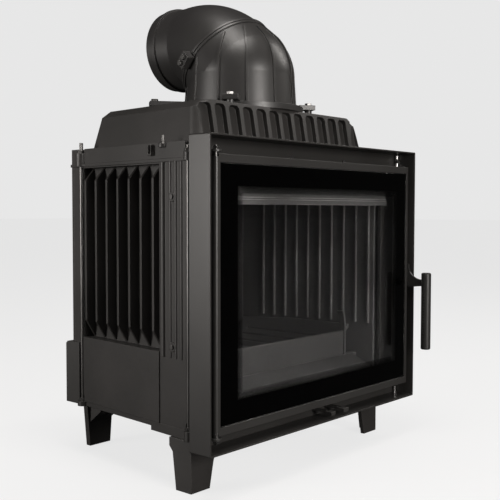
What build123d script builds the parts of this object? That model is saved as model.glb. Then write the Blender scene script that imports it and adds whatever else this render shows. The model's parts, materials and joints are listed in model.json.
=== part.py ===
"""Cast iron fireplace insert: ribbed cast body on legs, glazed door, lever handle, air levers
and a flue elbow that turns in a slanted joint.

Millimetres, +Z up, the door faces -Y. The origin is on the floor, in the middle of the outer box.
Depths run back from the front edge of the surround. Heights run up from the underside of the
surround, which stands floor_gap above the floor.
"""

import os
from math import cos, hypot, radians, sin, tan

from build123d import *

os.makedirs("parts", exist_ok=True)

# Surround and front plate
surround_width = 680.0
surround_height = 562.0
surround_depth = 49.0
sheet = 3.0
floor_gap = 89.0
plate_thickness = 8.0
opening_side_margin = 70.0
opening_low = 66.0
opening_top_margin = 62.0
opening_corner = 12.0
plate_rim = 2.0
plate_margin = 18.0
plate_screw_left = -56.0
plate_screw_right = 123.0
plate_screw_drop = 30.0

# Body
body_inset = 27.3
taper = 4.8
body_rear = 470.0
wall = 8.0
column_wall = 12.0
base_low = 2.0
base_thickness = 10.0
front_ledge_low = 8.0
front_ledge_end = 200.0
ledge_low = 16.5
ledge_width = 50.0
ledge_riser = 10.0
rim_drop = 43.0
rim_height = 37.0
rim_bead = 2.0
rim_bead_height = 6.0
ledge_thickness = 7.0

# Fins and reeds of the side walls
recess_front = 172.0
recess_rear_margin = 42.0
recess_low = 163.0
recess_top_gap = 3.0
recess_depth = 22.0
recess_skin = 6.0
fin_front_gap = 20.5
fin_rear_gap = 7.5
fin_count = 7
fin_thickness = 6.0
fin_slope_low = 36.0
fin_slope_high = 26.0
reed_first = 107.5
reed_pitch = 16.0
reed_count = 3
reed_radius = 4.5
reed_rise = 2.5
reed_low_gap = 8.0
bead_gap = 11.0
bead_radius = 6.5
bead_rise = 4.5
panel_rise = 2.5
boss_radius = 9.0
boss_rise = 3.0
side_screw_depth = 131.5
side_screw_drop = 65.0
side_screw_lift = 13.0

# Tie rods
rod_radius = 4.0
rod_clearance = 0.3
rod_groove_radius = 6.5
front_rod_gap = 30.0
rear_rod_gap = 36.0
front_lug_radius = 9.0
rear_lug_radius = 11.5
front_lug_height = 15.5
rear_lug_height = 28.0
nut_width = 13.0
nut_height = 6.5
front_rod_stick_out = 6.0
rear_rod_stick_out = 15.5
rod_seat = 6.0
nut_room = 8.5

# Hood on the rim
hood_front_gap = 38.0
hood_rear_gap = 30.0
hood_height = 82.0
bevel_height = 15.0
hood_lean = 0.18
hood_rear_lean = 0.25
hood_inset = 30.0
shoulder_inset = 42.0
deck_inset = 65.0
hood_corner = 20.0
hood_rear_corner = 14.0
hood_wall = 7.0
hood_front_wall = 18.0
deck_thickness = 8.0
pocket_side_gap = 14.0
pocket_count = 13
pocket_wall = 10.0
pocket_depth = 10.0
pocket_start = 4.0
pocket_margin = 6.0
pocket_corner = 9.0

# Flue dome, slanted joint and elbow
dome_shift = 33.5
dome_radius = 119.5
dome_taper = 5.0
dome_wall = 7.0
dome_flange_rim = 15.0
dome_flange = 12.0
dome_upright = 78.0
dome_neck = 53.0
neck_taper = 5.5
joint_angle = 45.0
joint_gap = 2.0
joint_lip = 5.0
joint_lip_rise = 3.0
dome_rib_count = 9
dome_rib_pitch = 30.0
dome_rib_first = -108.0
dome_rib_width = 4.5
dome_rib_rise = 3.5
dome_rib_end = 14.0
elbow_bend = 141.5
elbow_wall = 6.0
collar_radius = 90.0
collar_length = 66.9
collar_bead_rise = 4.0
collar_bead_width = 8.0
collar_bead_from_end = 28.0
spigot_length = 10.0
spigot_wall = 4.5
spigot_gap = 1.5

# Door
door_left_gap = 30.0
door_right_gap = 15.0
door_low = 31.0
door_top_gap = 34.0
door_face = 9.5
door_back_gap = 11.0
door_side = 12.0
door_ledge = 5.5
top_strip = 14.5
bottom_strip = 14.0
left_strip = 6.0
right_strip = 8.0
glass_thickness = 4.0
glass_setback = 0.4
glass_clearance = 0.5
glass_bearing = 16.0
glass_seal = 1.6
hinge_radius = 5.5
hinge_pin_radius = 3.0
hinge_clearance = 0.06
hinge_tube_margin = 5.0
bracket_gap = 3.0
bracket_thickness = 4.0
bracket_leg = 10.0
bracket_reach = 42.0
bracket_nose = 10.0
bracket_plate = 4.0
pin_insert = 26.0
hinge_nut_width = 11.0
hinge_nut_height = 6.0
hinge_thread = 2.0
gasket_width = 8.0
gasket_sink = 2.0
gasket_gap = 0.3
gasket_inset = 2.0
clip_width = 16.0
clip_reach = 5.0
clip_thickness = 2.0
clip_seat = 9.0
clip_spread = 180.0
clip_screw_radius = 3.0
clip_screw_head = 1.6
hinge_notch = 0.5
bolt_room = 9.0
deflector_half_width = 251.0
deflector_low = 440.0
deflector_bar = 9.5
deflector_step = 4.0
deflector_front = 22.0
deflector_sheet = 2.0

# Handle and latch
lever_thickness = 5.0
lever_gap = 1.5
pivot_depth = 16.0
pivot_height = 278.0
pivot_radius = 4.0
pivot_clearance = 0.05
pivot_head_radius = 6.5
pivot_head = 2.4
lever_play = 0.3
grip_depth = -38.0
grip_radius = 11.0
grip_wall = 1.5
grip_drop = 165.3
grip_length = 174.6
grip_core_radius = 5.0
grip_cap = 6.0
grip_hole_radius = 1.6
grip_hole_rows = 16
grip_hole_pitch = 6.6
grip_hole_start = 24.3
grip_hole_turn = -116.3
arm_drop = 21.5
lever_arm_height = 15.0
root_drop = 25.0
root_rise = 28.0
root_front_reach = 9.0
root_back_reach = 3.0
curve_reach = 40.5
tail_reach = 11.0
heel_reach = 4.0
pivot_seat = 7.0
tooth_rise = 5.2
tail_rise = 2.0
tail_drop = 10.0
tooth_reach = 18.5
tooth_length = 4.0
keeper_gap = 0.8
keeper_lip_gap = 1.5
keeper_lip = 3.0
keeper_top_gap = 7.0
keeper_bar = 7.0
keeper_half_width = 5.0
catch_rod_radius = 3.5
catch_rod_gap = 5.0
catch_rod_inset = 9.0
catch_rod_margin = 2.0
catch_bracket_height = 6.0
catch_bracket_low = 18.0
catch_nut_width = 9.0
catch_nut_height = 3.5

# Air levers
lever_bar_top = 18.0
lever_bar_thickness = 3.0
lever_front = -2.0
left_lever_x = 21.5
left_lever_width = 14.0
right_lever_x = 66.5
right_lever_width = 18.0
tab_drop = 8.0
tab_corner = 4.0
slot_play = 0.6
damper_front = 100.0
lever_travel = 20.0
lever_hole_length = 9.0
lever_hole_width = 4.0
damper_length = 80.0
damper_width = 40.0
port_length = 30.0
port_width = 10.0
port_pitch = 40.0
port_first = 15.0
control_plate_thickness = 2.7

# Lining, baffles and hearth
liner_inset = 30.0
liner_thickness = 8.0
liner_front = 66.0
liner_rear_gap = 30.0
liner_rib = 6.0
liner_rib_width = 4.0
liner_rib_first = 83.0
liner_rib_rear_gap = 61.8
liner_rib_count = 10
liner_rib_low = 170.0
liner_rib_top_gap = 4.0
liner_fit = 0.3
baffle_front = 130.0
baffle_drop = 72.0
baffle_rise = 0.045
baffle_thickness = 10.0
baffle_ledge = 6.0
upper_baffle_front = 90.0
upper_baffle_gap = 80.0
upper_baffle_thickness = 8.0
ash_box_half_width = 150.0
ash_box_front = 106.0
ash_box_gap = 40.0
ash_box_wall = 6.0
hearth_top = 92.0
hearth_plate = 8.0
hearth_strip_depth = 15.7
hearth_strip_gap = 54.7
grate_slots = 11
grate_slot_width = 9.0
grate_slot_pitch = 24.0
grate_margin = 40.0
slope_front = 122.0
slope_rise = 65.0
slope_side_gap = 62.7
slope_slot_width = 6.0
slope_slot_count = 3
slope_slot_pitch = 19.0
pan_gap = 6.0
pan_wall = 2.0
pan_lift = 10.0
guard_side_gap = 53.0
guard_height = 56.0
guard_thickness = 8.0
post_gap = 8.5
post_thickness = 5.0
post_height = 100.0
post_bend = 65.0
post_lean = 7.0
sill_drop = 23.0
sill_thickness = 7.0
sill_side_gap = 30.0
sill_slot_gap = 15.0
sill_slot = 5.0
channel_side_gap = 20.0
channel_depth = 25.0
channel_drop = 16.0
channel_height = 14.0
channel_sheet = 2.0

# Legs and the bowl under the base
leg_inset = 5.7
leg_front = 80.0
leg_width = 49.0
leg_depth = 39.6
leg_wall = 9.0
leg_flare = 46.0
leg_flange = 10.0
leg_bolt_in = 25.0
leg_bolt_back = 32.0
leg_bolt_cover = 2.0
rear_leg_inset = 86.7
rear_leg_width = 56.0
rear_leg_gap = 5.0
duct_height = 131.0
duct_low = 18.0
duct_depth = 18.0
duct_wall = 5.0
duct_cheek = 3.0
duct_cheek_front = 443.0
bowl_inset = 87.7
bowl_front = 160.0
bowl_rear_gap = 45.0
bowl_drop = 18.0
bowl_corner = 60.0
bowl_slope = 22.0
bowl_wall = 7.0

# Fasteners
bolt_radius = 4.0
bolt_head = 5.5
bolt_width = 13.0
screw_radius = 2.5
screw_head_radius = 4.5
screw_head = 2.5
clamp_width = 34.0
clamp_foot_width = 16.0
clamp_end = 11.0
clamp_rise = 10.0
clamp_overlap = 5.0
front_clamp_turn = 56.0
front_clamp_reach = 19.5
rear_clamp_turn = 128.0
rear_clamp_reach = 52.0
joint_clamp_width = 31.0
joint_clamp_turn = 7.0
joint_clamp_thickness = 17.0
joint_clamp_claw = 5.0
joint_bolt_width = 10.0
stud_depth = 160.0
stud_radius = 2.5
stud_drop = 3.0
stud_height = 16.0
stud_boss = 7.0
stud_collar = 3.5
stud_collar_top = 5.0
hook_depth = 193.0
hook_width = 12.0
hook_drop = 24.0
hook_height = 20.0
hook_floor = 3.0
hook_rise = 8.0
hook_slot = 7.0
hook_slot_shift = -1.0

# Worked-out places
grip_reach = grip_radius - grip_depth
body_back = body_rear + duct_depth
front = (grip_reach - body_back) / 2
half_surround = surround_width / 2
plate_back = surround_depth + plate_thickness
rim_back = surround_depth + plate_rim
opening_half_width = half_surround - opening_side_margin
opening_high = surround_height - opening_top_margin
plate_screw_height = surround_height - plate_screw_drop
body_half_width = half_surround - body_inset
rim_low = surround_height - rim_drop
rim_top = rim_low + rim_height
base_top = base_low + base_thickness
ledge_top = ledge_low + base_thickness
deck_height = rim_top + hood_height
recess_rear = body_rear - recess_rear_margin
recess_high = rim_low - recess_top_gap
fin_first = recess_front + fin_front_gap
fin_pitch = (recess_rear - fin_rear_gap - fin_first) / (fin_count - 1)
bead_depth = recess_front - bead_gap
side_screw_high = rim_low - side_screw_drop
side_screw_low = recess_low + side_screw_lift
front_rod_depth = plate_back + front_rod_gap
rear_rod_depth = body_rear - rear_rod_gap
hood_front = plate_back + hood_front_gap
hood_rear = body_rear - hood_rear_gap
dome_depth = (hood_front + hood_rear) / 2 - dome_shift
shoulder_radius = dome_radius - dome_taper
mouth_radius = shoulder_radius - neck_taper
dome_flange_radius = dome_radius + dome_flange_rim
spigot_radius = mouth_radius - dome_wall - spigot_gap
slant = radians(joint_angle)
door_left = door_left_gap - half_surround
door_right = half_surround - door_right_gap
door_high = surround_height - door_top_gap
door_back = surround_depth - door_back_gap
grip_low = pivot_height - grip_drop
grip_hole_first = grip_low + grip_hole_start
lever_arm_low = pivot_height - arm_drop
lever_root_low = pivot_height - root_drop
lever_root_high = pivot_height + root_rise
tooth_top = pivot_height + tooth_rise
tail_top = pivot_height + tail_rise
tail_low = pivot_height - tail_drop
lever_root_front = pivot_depth - root_front_reach
lever_root_back = pivot_depth - root_back_reach
lever_curve_start = pivot_depth - curve_reach
tail_start = pivot_depth + tail_reach
lever_heel = pivot_depth + heel_reach
tooth_front = pivot_depth + tooth_reach
tail_end = tooth_front + tooth_length
keeper_lip_front = tooth_front - keeper_lip_gap - keeper_lip
catch_rod_x = half_surround - catch_rod_inset
catch_rod_depth = surround_depth - catch_rod_gap
liner_rear = body_rear - liner_rear_gap
liner_rib_pitch = (liner_rear - liner_rib_rear_gap - liner_rib_first) / (liner_rib_count - 1)
baffle_low = rim_low - baffle_drop
liner_rib_high = baffle_low - liner_rib_top_gap
upper_baffle_rear = liner_rear - upper_baffle_gap
ash_box_rear = liner_rear - ash_box_gap
slope_run = body_half_width - slope_side_gap - ash_box_half_width
hearth_strip_half_width = body_half_width - hearth_strip_gap
guard_half_width = hearth_strip_half_width - guard_side_gap
post_x = guard_half_width + post_gap
sill_half_width = opening_half_width - sill_side_gap
sill_slot_half_width = sill_half_width - sill_slot_gap
channel_half_width = opening_half_width - channel_side_gap
channel_low = rim_low - channel_drop
leg_outer = body_half_width - leg_inset
rear_leg_outer = body_half_width - rear_leg_inset
rear_leg_front = body_rear + rear_leg_gap
bowl_half_width = body_half_width - bowl_inset
bowl_rear = body_rear - bowl_rear_gap


def level(height):
    """Height above the surround's underside, as z above the floor."""
    return floor_gap + height


def back(depth):
    """Depth behind the surround's front edge, as y."""
    return front + depth


def half(depth):
    """Half width of the tapered body at a depth."""
    return body_half_width - depth * tan(radians(taper))


def along(depth):
    """Distance along the slanting side wall for a depth."""
    return depth / cos(radians(taper))


def block(x_low, x_high, d_low, d_high, h_low, h_high, mode=Mode.ADD):
    """Box between two x values, two depths and two heights."""
    middle = ((x_low + x_high) / 2, back((d_low + d_high) / 2), level((h_low + h_high) / 2))
    with Locations(middle):
        Box(x_high - x_low, d_high - d_low, h_high - h_low, mode=mode)


def post(x, depth, h_low, h_high, radius, mode=Mode.ADD):
    """Upright round bar or hole."""
    with Locations((x, back(depth), level((h_low + h_high) / 2))):
        Cylinder(radius, h_high - h_low, mode=mode)


def nut(plane, width, height, mode=Mode.ADD):
    """Hexagon standing on a plane."""
    with BuildSketch(plane) as outline:
        RegularPolygon(width / 2, 6, major_radius=False)
    extrude(outline.sketch, amount=height, mode=mode)


def wall_block(d_low, d_high, h_low, h_high, w_low, w_high, mode=Mode.ADD):
    """Box in the frame of the right side wall: depth, height and distance out of its face."""
    centre = (along((d_low + d_high) / 2), level((h_low + h_high) / 2), (w_low + w_high) / 2)
    with Locations(right_wall_plane * Location(centre)):
        Box(along(d_high - d_low), h_high - h_low, w_high - w_low, mode=mode)


def body_outline(height, d_low, d_high, inset):
    """Plan outline of the tapered body at a height, moved in from the sides."""
    with BuildSketch(Plane.XY.offset(level(height))) as outline:
        Polygon(
            (-half(d_low) + inset, back(d_low)),
            (half(d_low) - inset, back(d_low)),
            (half(d_high) - inset, back(d_high)),
            (-half(d_high) + inset, back(d_high)),
            align=None,
        )
    return outline.sketch


def hood_section(height, inset, front_wall, side_wall, corner, rear_corner):
    """Plan outline of the hood at a height above the rim, moved in by its walls."""
    d_low = hood_front + hood_lean * height + front_wall
    d_high = hood_rear - hood_rear_lean * height - side_wall
    with BuildSketch(Plane.XY.offset(level(rim_top + height))) as outline:
        Polygon(
            (-half(d_low) + inset + side_wall, back(d_low)),
            (half(d_low) - inset - side_wall, back(d_low)),
            (half(d_high) - inset - side_wall, back(d_high)),
            (-half(d_high) + inset + side_wall, back(d_high)),
            align=None,
        )
        fillet(outline.vertices().group_by(Axis.Y)[0], corner)
        fillet(outline.vertices().group_by(Axis.Y)[-1], rear_corner)
    return outline.sketch


right_wall_plane = Plane(
    origin=(body_half_width, front, 0),
    x_dir=(-sin(radians(taper)), cos(radians(taper)), 0),
    z_dir=(cos(radians(taper)), sin(radians(taper)), 0),
)

# Surround: four thin sides round the front plate
with BuildPart() as surround_frame:
    block(-half_surround, half_surround, 0, rim_back, 0, surround_height)
    fillet(surround_frame.edges().filter_by(Axis.Y), sheet - liner_fit)
    block(
        -half_surround + sheet,
        half_surround - sheet,
        0,
        rim_back,
        sheet,
        surround_height - sheet,
        Mode.SUBTRACT,
    )
surround_frame.part.label = "surround_frame"
export_step(surround_frame.part, "parts/surround_frame.step")

# Front plate with the fire opening and the two lever slots
with BuildPart() as front_plate:
    block(
        -half_surround + sheet,
        half_surround - sheet,
        surround_depth,
        rim_back,
        sheet,
        surround_height - sheet,
    )
    block(
        -half_surround + plate_margin,
        half_surround - plate_margin,
        surround_depth,
        plate_back,
        sheet,
        surround_height - sheet,
    )
    with BuildSketch(Plane.XZ.offset(-back(surround_depth))) as opening:
        with Locations((0, level((opening_low + opening_high) / 2))):
            RectangleRounded(2 * opening_half_width, opening_high - opening_low, opening_corner)
    extrude(amount=-plate_thickness, mode=Mode.SUBTRACT)
    for lever_x, lever_width in (
        (left_lever_x, left_lever_width),
        (right_lever_x, right_lever_width),
    ):
        block(
            lever_x - lever_width / 2 - slot_play,
            lever_x + lever_width / 2 + slot_play,
            surround_depth,
            plate_back,
            lever_bar_top - lever_bar_thickness - slot_play,
            lever_bar_top + slot_play,
            Mode.SUBTRACT,
        )
    for screw_x in (plate_screw_left, plate_screw_right):
        with Locations(Location((screw_x, back(plate_back), level(plate_screw_height)), (90, 0, 0))):
            Cylinder(screw_radius + rod_clearance, 4 * plate_thickness, mode=Mode.SUBTRACT)
front_plate.part.label = "front_plate"
export_step(front_plate.part, "parts/front_plate.step")

# Channel that leads air down over the glass, behind the front plate
with BuildPart() as air_wash_channel:
    channel_high = channel_low + channel_height
    channel_back = plate_back + channel_depth
    block(-channel_half_width, channel_half_width, plate_back, channel_back, channel_low, channel_high)
    block(
        -channel_half_width + channel_sheet,
        channel_half_width - channel_sheet,
        plate_back,
        channel_back - channel_sheet,
        channel_low + channel_sheet,
        channel_high - channel_sheet,
        Mode.SUBTRACT,
    )
    block(
        -channel_half_width + 4 * channel_sheet,
        channel_half_width - 4 * channel_sheet,
        plate_back + channel_sheet,
        plate_back + 3 * channel_sheet,
        channel_low,
        channel_low + channel_sheet,
        Mode.SUBTRACT,
    )
air_wash_channel.part.label = "air_wash_channel"
export_step(air_wash_channel.part, "parts/air_wash_channel.step")

# Right side wall: thick slab, recess with fins outside, hollowed inside
slab = recess_depth + recess_skin
with BuildPart() as right_side_wall:
    wall_block(plate_back, body_rear, ledge_top, rim_low, -slab, 0)
    wall_block(plate_back, body_rear, ledge_top, recess_low - wall, -slab, -wall, Mode.SUBTRACT)
    wall_block(plate_back, recess_front - wall, ledge_top, rim_low, -slab, -column_wall, Mode.SUBTRACT)
    wall_block(recess_rear + wall, body_rear, ledge_top, rim_low, -slab, -column_wall, Mode.SUBTRACT)
    wall_block(recess_front, recess_rear, ledge_top, recess_low, -wall, panel_rise)
    wall_block(recess_front, recess_rear, recess_low, recess_high, -recess_depth, 0, Mode.SUBTRACT)
    for index in range(fin_count):
        fin_depth = fin_first + index * fin_pitch
        fin_plane = Plane(
            origin=(right_wall_plane * Location((along(fin_depth), 0, 0))).position,
            x_dir=right_wall_plane.z_dir,
            z_dir=-right_wall_plane.x_dir,
        )
        with BuildSketch(fin_plane):
            Polygon(
                (-recess_depth, level(recess_low)),
                (0, level(recess_low + fin_slope_low)),
                (0, level(recess_high - fin_slope_high)),
                (-recess_depth, level(recess_high)),
                align=None,
            )
        extrude(amount=fin_thickness / 2, both=True)
    reed_low = recess_low - reed_low_gap
    reed_places = [
        (reed_first + index * reed_pitch, reed_radius, reed_radius - reed_rise)
        for index in range(reed_count)
    ]
    for reed_depth, radius, sunk in reed_places + [(bead_depth, bead_radius, bead_radius - bead_rise)]:
        reed_axis = right_wall_plane * Location((along(reed_depth), 0, -sunk))
        with Locations((reed_axis.position.X, reed_axis.position.Y, level((reed_low + rim_low) / 2))):
            Cylinder(radius, rim_low - reed_low)
    for rod_depth in (front_rod_depth, rear_rod_depth):
        post(half(rod_depth), rod_depth, ledge_top, rim_low, rod_groove_radius, Mode.SUBTRACT)
    for screw_height in (side_screw_high, side_screw_low):
        with Locations(right_wall_plane * Location((along(side_screw_depth), level(screw_height), 0))):
            Cylinder(boss_radius, 2 * boss_rise)
            Cylinder(screw_radius + rod_clearance, 4 * column_wall, mode=Mode.SUBTRACT)
    for rod_depth in (front_rod_depth, rear_rod_depth):
        nut_high = ledge_top + nut_height + front_rod_stick_out
        post(half(rod_depth), rod_depth, ledge_top, nut_high, nut_room, Mode.SUBTRACT)
    block(0, half_surround, 0, plate_back, 0, rim_top, Mode.SUBTRACT)
    block(0, half_surround, body_rear - wall, body_rear + slab, 0, rim_top, Mode.SUBTRACT)
right_side_wall.part.label = "right_side_wall"
export_step(right_side_wall.part, "parts/right_side_wall.step")

with BuildPart() as left_side_wall:
    mirror(right_side_wall.part, about=Plane.YZ)
left_side_wall.part.label = "left_side_wall"
export_step(left_side_wall.part, "parts/left_side_wall.step")

# Back wall with a raised border and upright ribs
with BuildPart() as back_wall:
    extrude(body_outline(ledge_top, body_rear - wall, body_rear, 0), amount=rim_low - ledge_top)
    panel_half_width = half(body_rear) - 2 * wall
    block(
        -panel_half_width,
        panel_half_width,
        body_rear - wall / 2,
        body_rear,
        duct_low + duct_height + 2 * wall,
        rim_low - 2 * wall,
        Mode.SUBTRACT,
    )
    for index in range(-5, 6):
        rib_x = index * fin_pitch
        block(
            rib_x - fin_thickness / 2,
            rib_x + fin_thickness / 2,
            body_rear - wall,
            body_rear,
            duct_low + duct_height + 2 * wall,
            rim_low - 2 * wall,
        )
back_wall.part.label = "back_wall"
export_step(back_wall.part, "parts/back_wall.step")

# Duct low on the back, open below, with cheeks that reach forward round the body's corners
with BuildPart() as rear_air_duct:
    duct_top = duct_low + duct_height
    cheek_half_width = half(duct_cheek_front) + liner_fit
    duct_half_width = cheek_half_width + duct_cheek
    block(-duct_half_width, duct_half_width, duct_cheek_front, body_back, duct_low, duct_top)
    chamfer(rear_air_duct.edges().filter_by(Axis.X).group_by(Axis.Z)[-1].sort_by(Axis.Y)[-1], duct_wall)
    block(-cheek_half_width, cheek_half_width, 0, body_rear, duct_low, duct_top, Mode.SUBTRACT)
    block(
        -cheek_half_width + duct_wall,
        cheek_half_width - duct_wall,
        body_rear,
        body_back - duct_wall,
        duct_low,
        duct_top - 2 * duct_wall,
        Mode.SUBTRACT,
    )
    lug_room = rear_lug_radius + liner_fit
    for side in (-1, 1):
        rear_foot = (side * half(rear_rod_depth), rear_rod_depth)
        post(*rear_foot, duct_low, ledge_top + liner_fit, lug_room, Mode.SUBTRACT)
rear_air_duct.part.label = "rear_air_duct"
export_step(rear_air_duct.part, "parts/rear_air_duct.step")

# Base with rod lugs, the sunk bowl and the air ports
port_depths = (damper_front + port_first, damper_front + port_first + port_pitch)
lever_places = (left_lever_x, right_lever_x)
leg_bolt_places = [
    (side * bolt_x, bolt_depth, bolt_low)
    for side in (-1, 1)
    for bolt_x, bolt_depth, bolt_low in (
        (leg_outer - leg_bolt_in, leg_front + leg_bolt_back, front_ledge_low),
        (rear_leg_outer - rear_leg_width / 2, rear_leg_front - 2 * leg_wall, base_low),
    )
]
with BuildPart() as base_casting:
    extrude(body_outline(base_low, plate_back, body_rear, 0), amount=ledge_top - base_low)
    pan_half_width = half(body_rear) - ledge_width
    block(
        -pan_half_width + ledge_riser,
        pan_half_width - ledge_riser,
        plate_back,
        body_rear - ledge_riser,
        base_top,
        ledge_top,
        Mode.SUBTRACT,
    )
    for side in (-1, 1):
        for d_low, d_high, cut_top in (
            (plate_back, front_ledge_end, front_ledge_low),
            (front_ledge_end, body_rear, ledge_low),
        ):
            cut_x = sorted((side * pan_half_width, side * half_surround))
            block(*cut_x, d_low, d_high, base_low, cut_top, Mode.SUBTRACT)
        front_foot = (side * half(front_rod_depth), front_rod_depth)
        rear_foot = (side * half(rear_rod_depth), rear_rod_depth)
        post(*front_foot, front_ledge_low, ledge_top, front_lug_radius)
        post(*rear_foot, ledge_low - liner_fit, ledge_top, rear_lug_radius)
    bowl_middle = back((bowl_front + bowl_rear) / 2)
    bowl_length = bowl_rear - bowl_front
    for shrink, depth_shift, mode in ((0, 0, Mode.ADD), (bowl_wall, bowl_wall, Mode.SUBTRACT)):
        top = base_low if mode == Mode.ADD else base_top
        with BuildSketch(Plane((0, bowl_middle, level(top)))) as bowl_mouth:
            RectangleRounded(2 * (bowl_half_width - shrink), bowl_length - 2 * shrink, bowl_corner)
        with BuildSketch(Plane((0, bowl_middle, level(base_low - bowl_drop + depth_shift)))) as bowl_floor:
            RectangleRounded(
                2 * (bowl_half_width - shrink - bowl_slope),
                bowl_length - 2 * (shrink + bowl_slope),
                bowl_corner - bowl_slope,
            )
        loft([bowl_mouth.sketch, bowl_floor.sketch], mode=mode)
    for side in (-1, 1):
        for rod_depth in (front_rod_depth, rear_rod_depth):
            rod_hole = rod_radius + rod_clearance
            rod_x = side * half(rod_depth)
            post(rod_x, rod_depth, ledge_top - rod_seat, ledge_top, rod_hole, Mode.SUBTRACT)
    bolt_depth_in = base_thickness - leg_bolt_cover
    for bolt_x, bolt_depth, bolt_low in leg_bolt_places:
        post(bolt_x, bolt_depth, bolt_low, bolt_low + bolt_depth_in, bolt_radius, Mode.SUBTRACT)
    for lever_x in lever_places:
        for port_depth in port_depths:
            block(
                lever_x - port_length / 2,
                lever_x + port_length / 2,
                port_depth - port_width / 2,
                port_depth + port_width / 2,
                base_low,
                base_top,
                Mode.SUBTRACT,
            )
base_casting.part.label = "base_casting"
export_step(base_casting.part, "parts/base_casting.step")

# Top casting: hollow rim with a lower bead, ledge, rod lugs and the ribbed hood
rod_kinds = (
    (front_rod_depth, front_lug_radius, rim_low + front_lug_height, front_rod_stick_out),
    (rear_rod_depth, rear_lug_radius, rim_low + rear_lug_height, rear_rod_stick_out),
)
rod_places = [(side, *rod_kind) for side in (-1, 1) for rod_kind in rod_kinds]
with BuildPart() as top_casting:
    extrude(body_outline(rim_low, plate_back, body_rear, 0), amount=rim_height)
    extrude(body_outline(rim_low, plate_back, body_rear + rim_bead, -rim_bead), amount=rim_bead_height)
    for side, rod_depth, lug_radius, lug_top, _ in rod_places:
        post(side * half(rod_depth), rod_depth, rim_low, lug_top, lug_radius)
    deck_corner = hood_rear_corner / 2
    loft(
        [
            hood_section(0, hood_inset, 0, 0, hood_corner, hood_rear_corner),
            hood_section(
                hood_height - bevel_height, shoulder_inset, 0, 0, hood_corner, hood_rear_corner
            ),
            hood_section(hood_height, deck_inset, 0, 0, hood_corner, deck_corner),
        ],
        ruled=True,
    )
    inside = body_outline(rim_low, plate_back + wall, body_rear - wall, wall)
    extrude(inside, amount=rim_height - ledge_thickness, mode=Mode.SUBTRACT)
    loft(
        [
            hood_section(
                -ledge_thickness, hood_inset, hood_front_wall, hood_wall, deck_corner, deck_corner
            ),
            hood_section(
                hood_height - bevel_height - deck_thickness / 2,
                shoulder_inset,
                hood_front_wall,
                hood_wall,
                deck_corner,
                deck_corner,
            ),
            hood_section(
                hood_height - deck_thickness,
                deck_inset - deck_thickness,
                hood_front_wall,
                hood_wall,
                deck_corner,
                deck_corner,
            ),
        ],
        ruled=True,
        mode=Mode.SUBTRACT,
    )
    face_length = hypot(1, hood_lean)
    hood_face = Plane(
        origin=(0, back(hood_front), level(rim_top)),
        x_dir=(1, 0, 0),
        z_dir=(0, -1 / face_length, hood_lean / face_length),
    )
    pocket_high = hood_height * face_length - pocket_margin
    pocket_pitch = 2 * (half(hood_front) - hood_inset - pocket_side_gap) / pocket_count
    with BuildSketch(hood_face):
        with Locations((0, (pocket_start + pocket_high) / 2)):
            with GridLocations(pocket_pitch, 0, pocket_count, 1):
                RectangleRounded(pocket_pitch - pocket_wall, pocket_high - pocket_start, pocket_corner)
    extrude(amount=-pocket_depth, mode=Mode.SUBTRACT)
    post(0, dome_depth, rim_top, deck_height, dome_radius - dome_wall, Mode.SUBTRACT)
    for side, rod_depth, lug_radius, lug_top, _ in rod_places:
        x = side * half(rod_depth)
        post(x, rod_depth, rim_low, rim_top, rod_radius + rod_clearance, Mode.SUBTRACT)
        post(x, rod_depth, lug_top, rim_top, lug_radius, Mode.SUBTRACT)
    for screw_x in (plate_screw_left, plate_screw_right):
        with Locations(Location((screw_x, back(plate_back), level(plate_screw_height)), (90, 0, 0))):
            Cylinder(screw_radius + rod_clearance, 4 * wall, mode=Mode.SUBTRACT)
    stud_seat = rim_top - stud_drop
    for side in (-1, 1):
        stud_x = side * half(stud_depth)
        post(stud_x, stud_depth, stud_seat - stud_boss, stud_seat, boss_radius)
        post(stud_x, stud_depth, stud_seat, rim_top, boss_radius, Mode.SUBTRACT)
    with BuildPart(mode=Mode.PRIVATE) as right_hook:
        hook_low = rim_top - hook_drop
        slot_depth = hook_depth + hook_slot_shift
        wall_block(
            hook_depth - hook_width / 2,
            hook_depth + hook_width / 2,
            hook_low,
            hook_low + hook_height,
            -rim_bead,
            hook_rise,
        )
        wall_block(
            slot_depth - hook_slot / 2,
            slot_depth + hook_slot / 2,
            hook_low + hook_floor,
            rim_top,
            liner_fit,
            hook_rise,
            Mode.SUBTRACT,
        )
    add(right_hook.part)
    mirror(right_hook.part, about=Plane.YZ)
top_casting.part.label = "top_casting"
export_step(top_casting.part, "parts/top_casting.step")

# Rods that pull the top casting down on the base, with a nut at each end
rod_low = ledge_top - rod_seat
with BuildPart() as tie_rods:
    for side, rod_depth, _, lug_top, stick_out in rod_places:
        rod_high = lug_top + nut_height + stick_out
        post(side * half(rod_depth), rod_depth, rod_low, rod_high, rod_radius)
tie_rods.part.label = "tie_rods"
export_step(tie_rods.part, "parts/tie_rods.step")

with BuildPart() as tie_rod_nuts:
    for side, rod_depth, _, lug_top, _ in rod_places:
        for height in (ledge_top, lug_top):
            nut(Plane((side * half(rod_depth), back(rod_depth), level(height))), nut_width, nut_height)
        post(side * half(rod_depth), rod_depth, rod_low, deck_height, rod_radius, Mode.SUBTRACT)
tie_rod_nuts.part.label = "tie_rod_nuts"
export_step(tie_rod_nuts.part, "parts/tie_rod_nuts.step")

with BuildPart() as rim_studs:
    for side in (-1, 1):
        post(side * half(stud_depth), stud_depth, stud_seat, stud_seat + stud_height, stud_radius)
        with Locations((side * half(stud_depth), back(stud_depth), level(stud_seat + stud_collar / 2))):
            Cone(boss_radius - liner_fit, stud_collar_top, stud_collar)
rim_studs.part.label = "rim_studs"
export_step(rim_studs.part, "parts/rim_studs.step")

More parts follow.
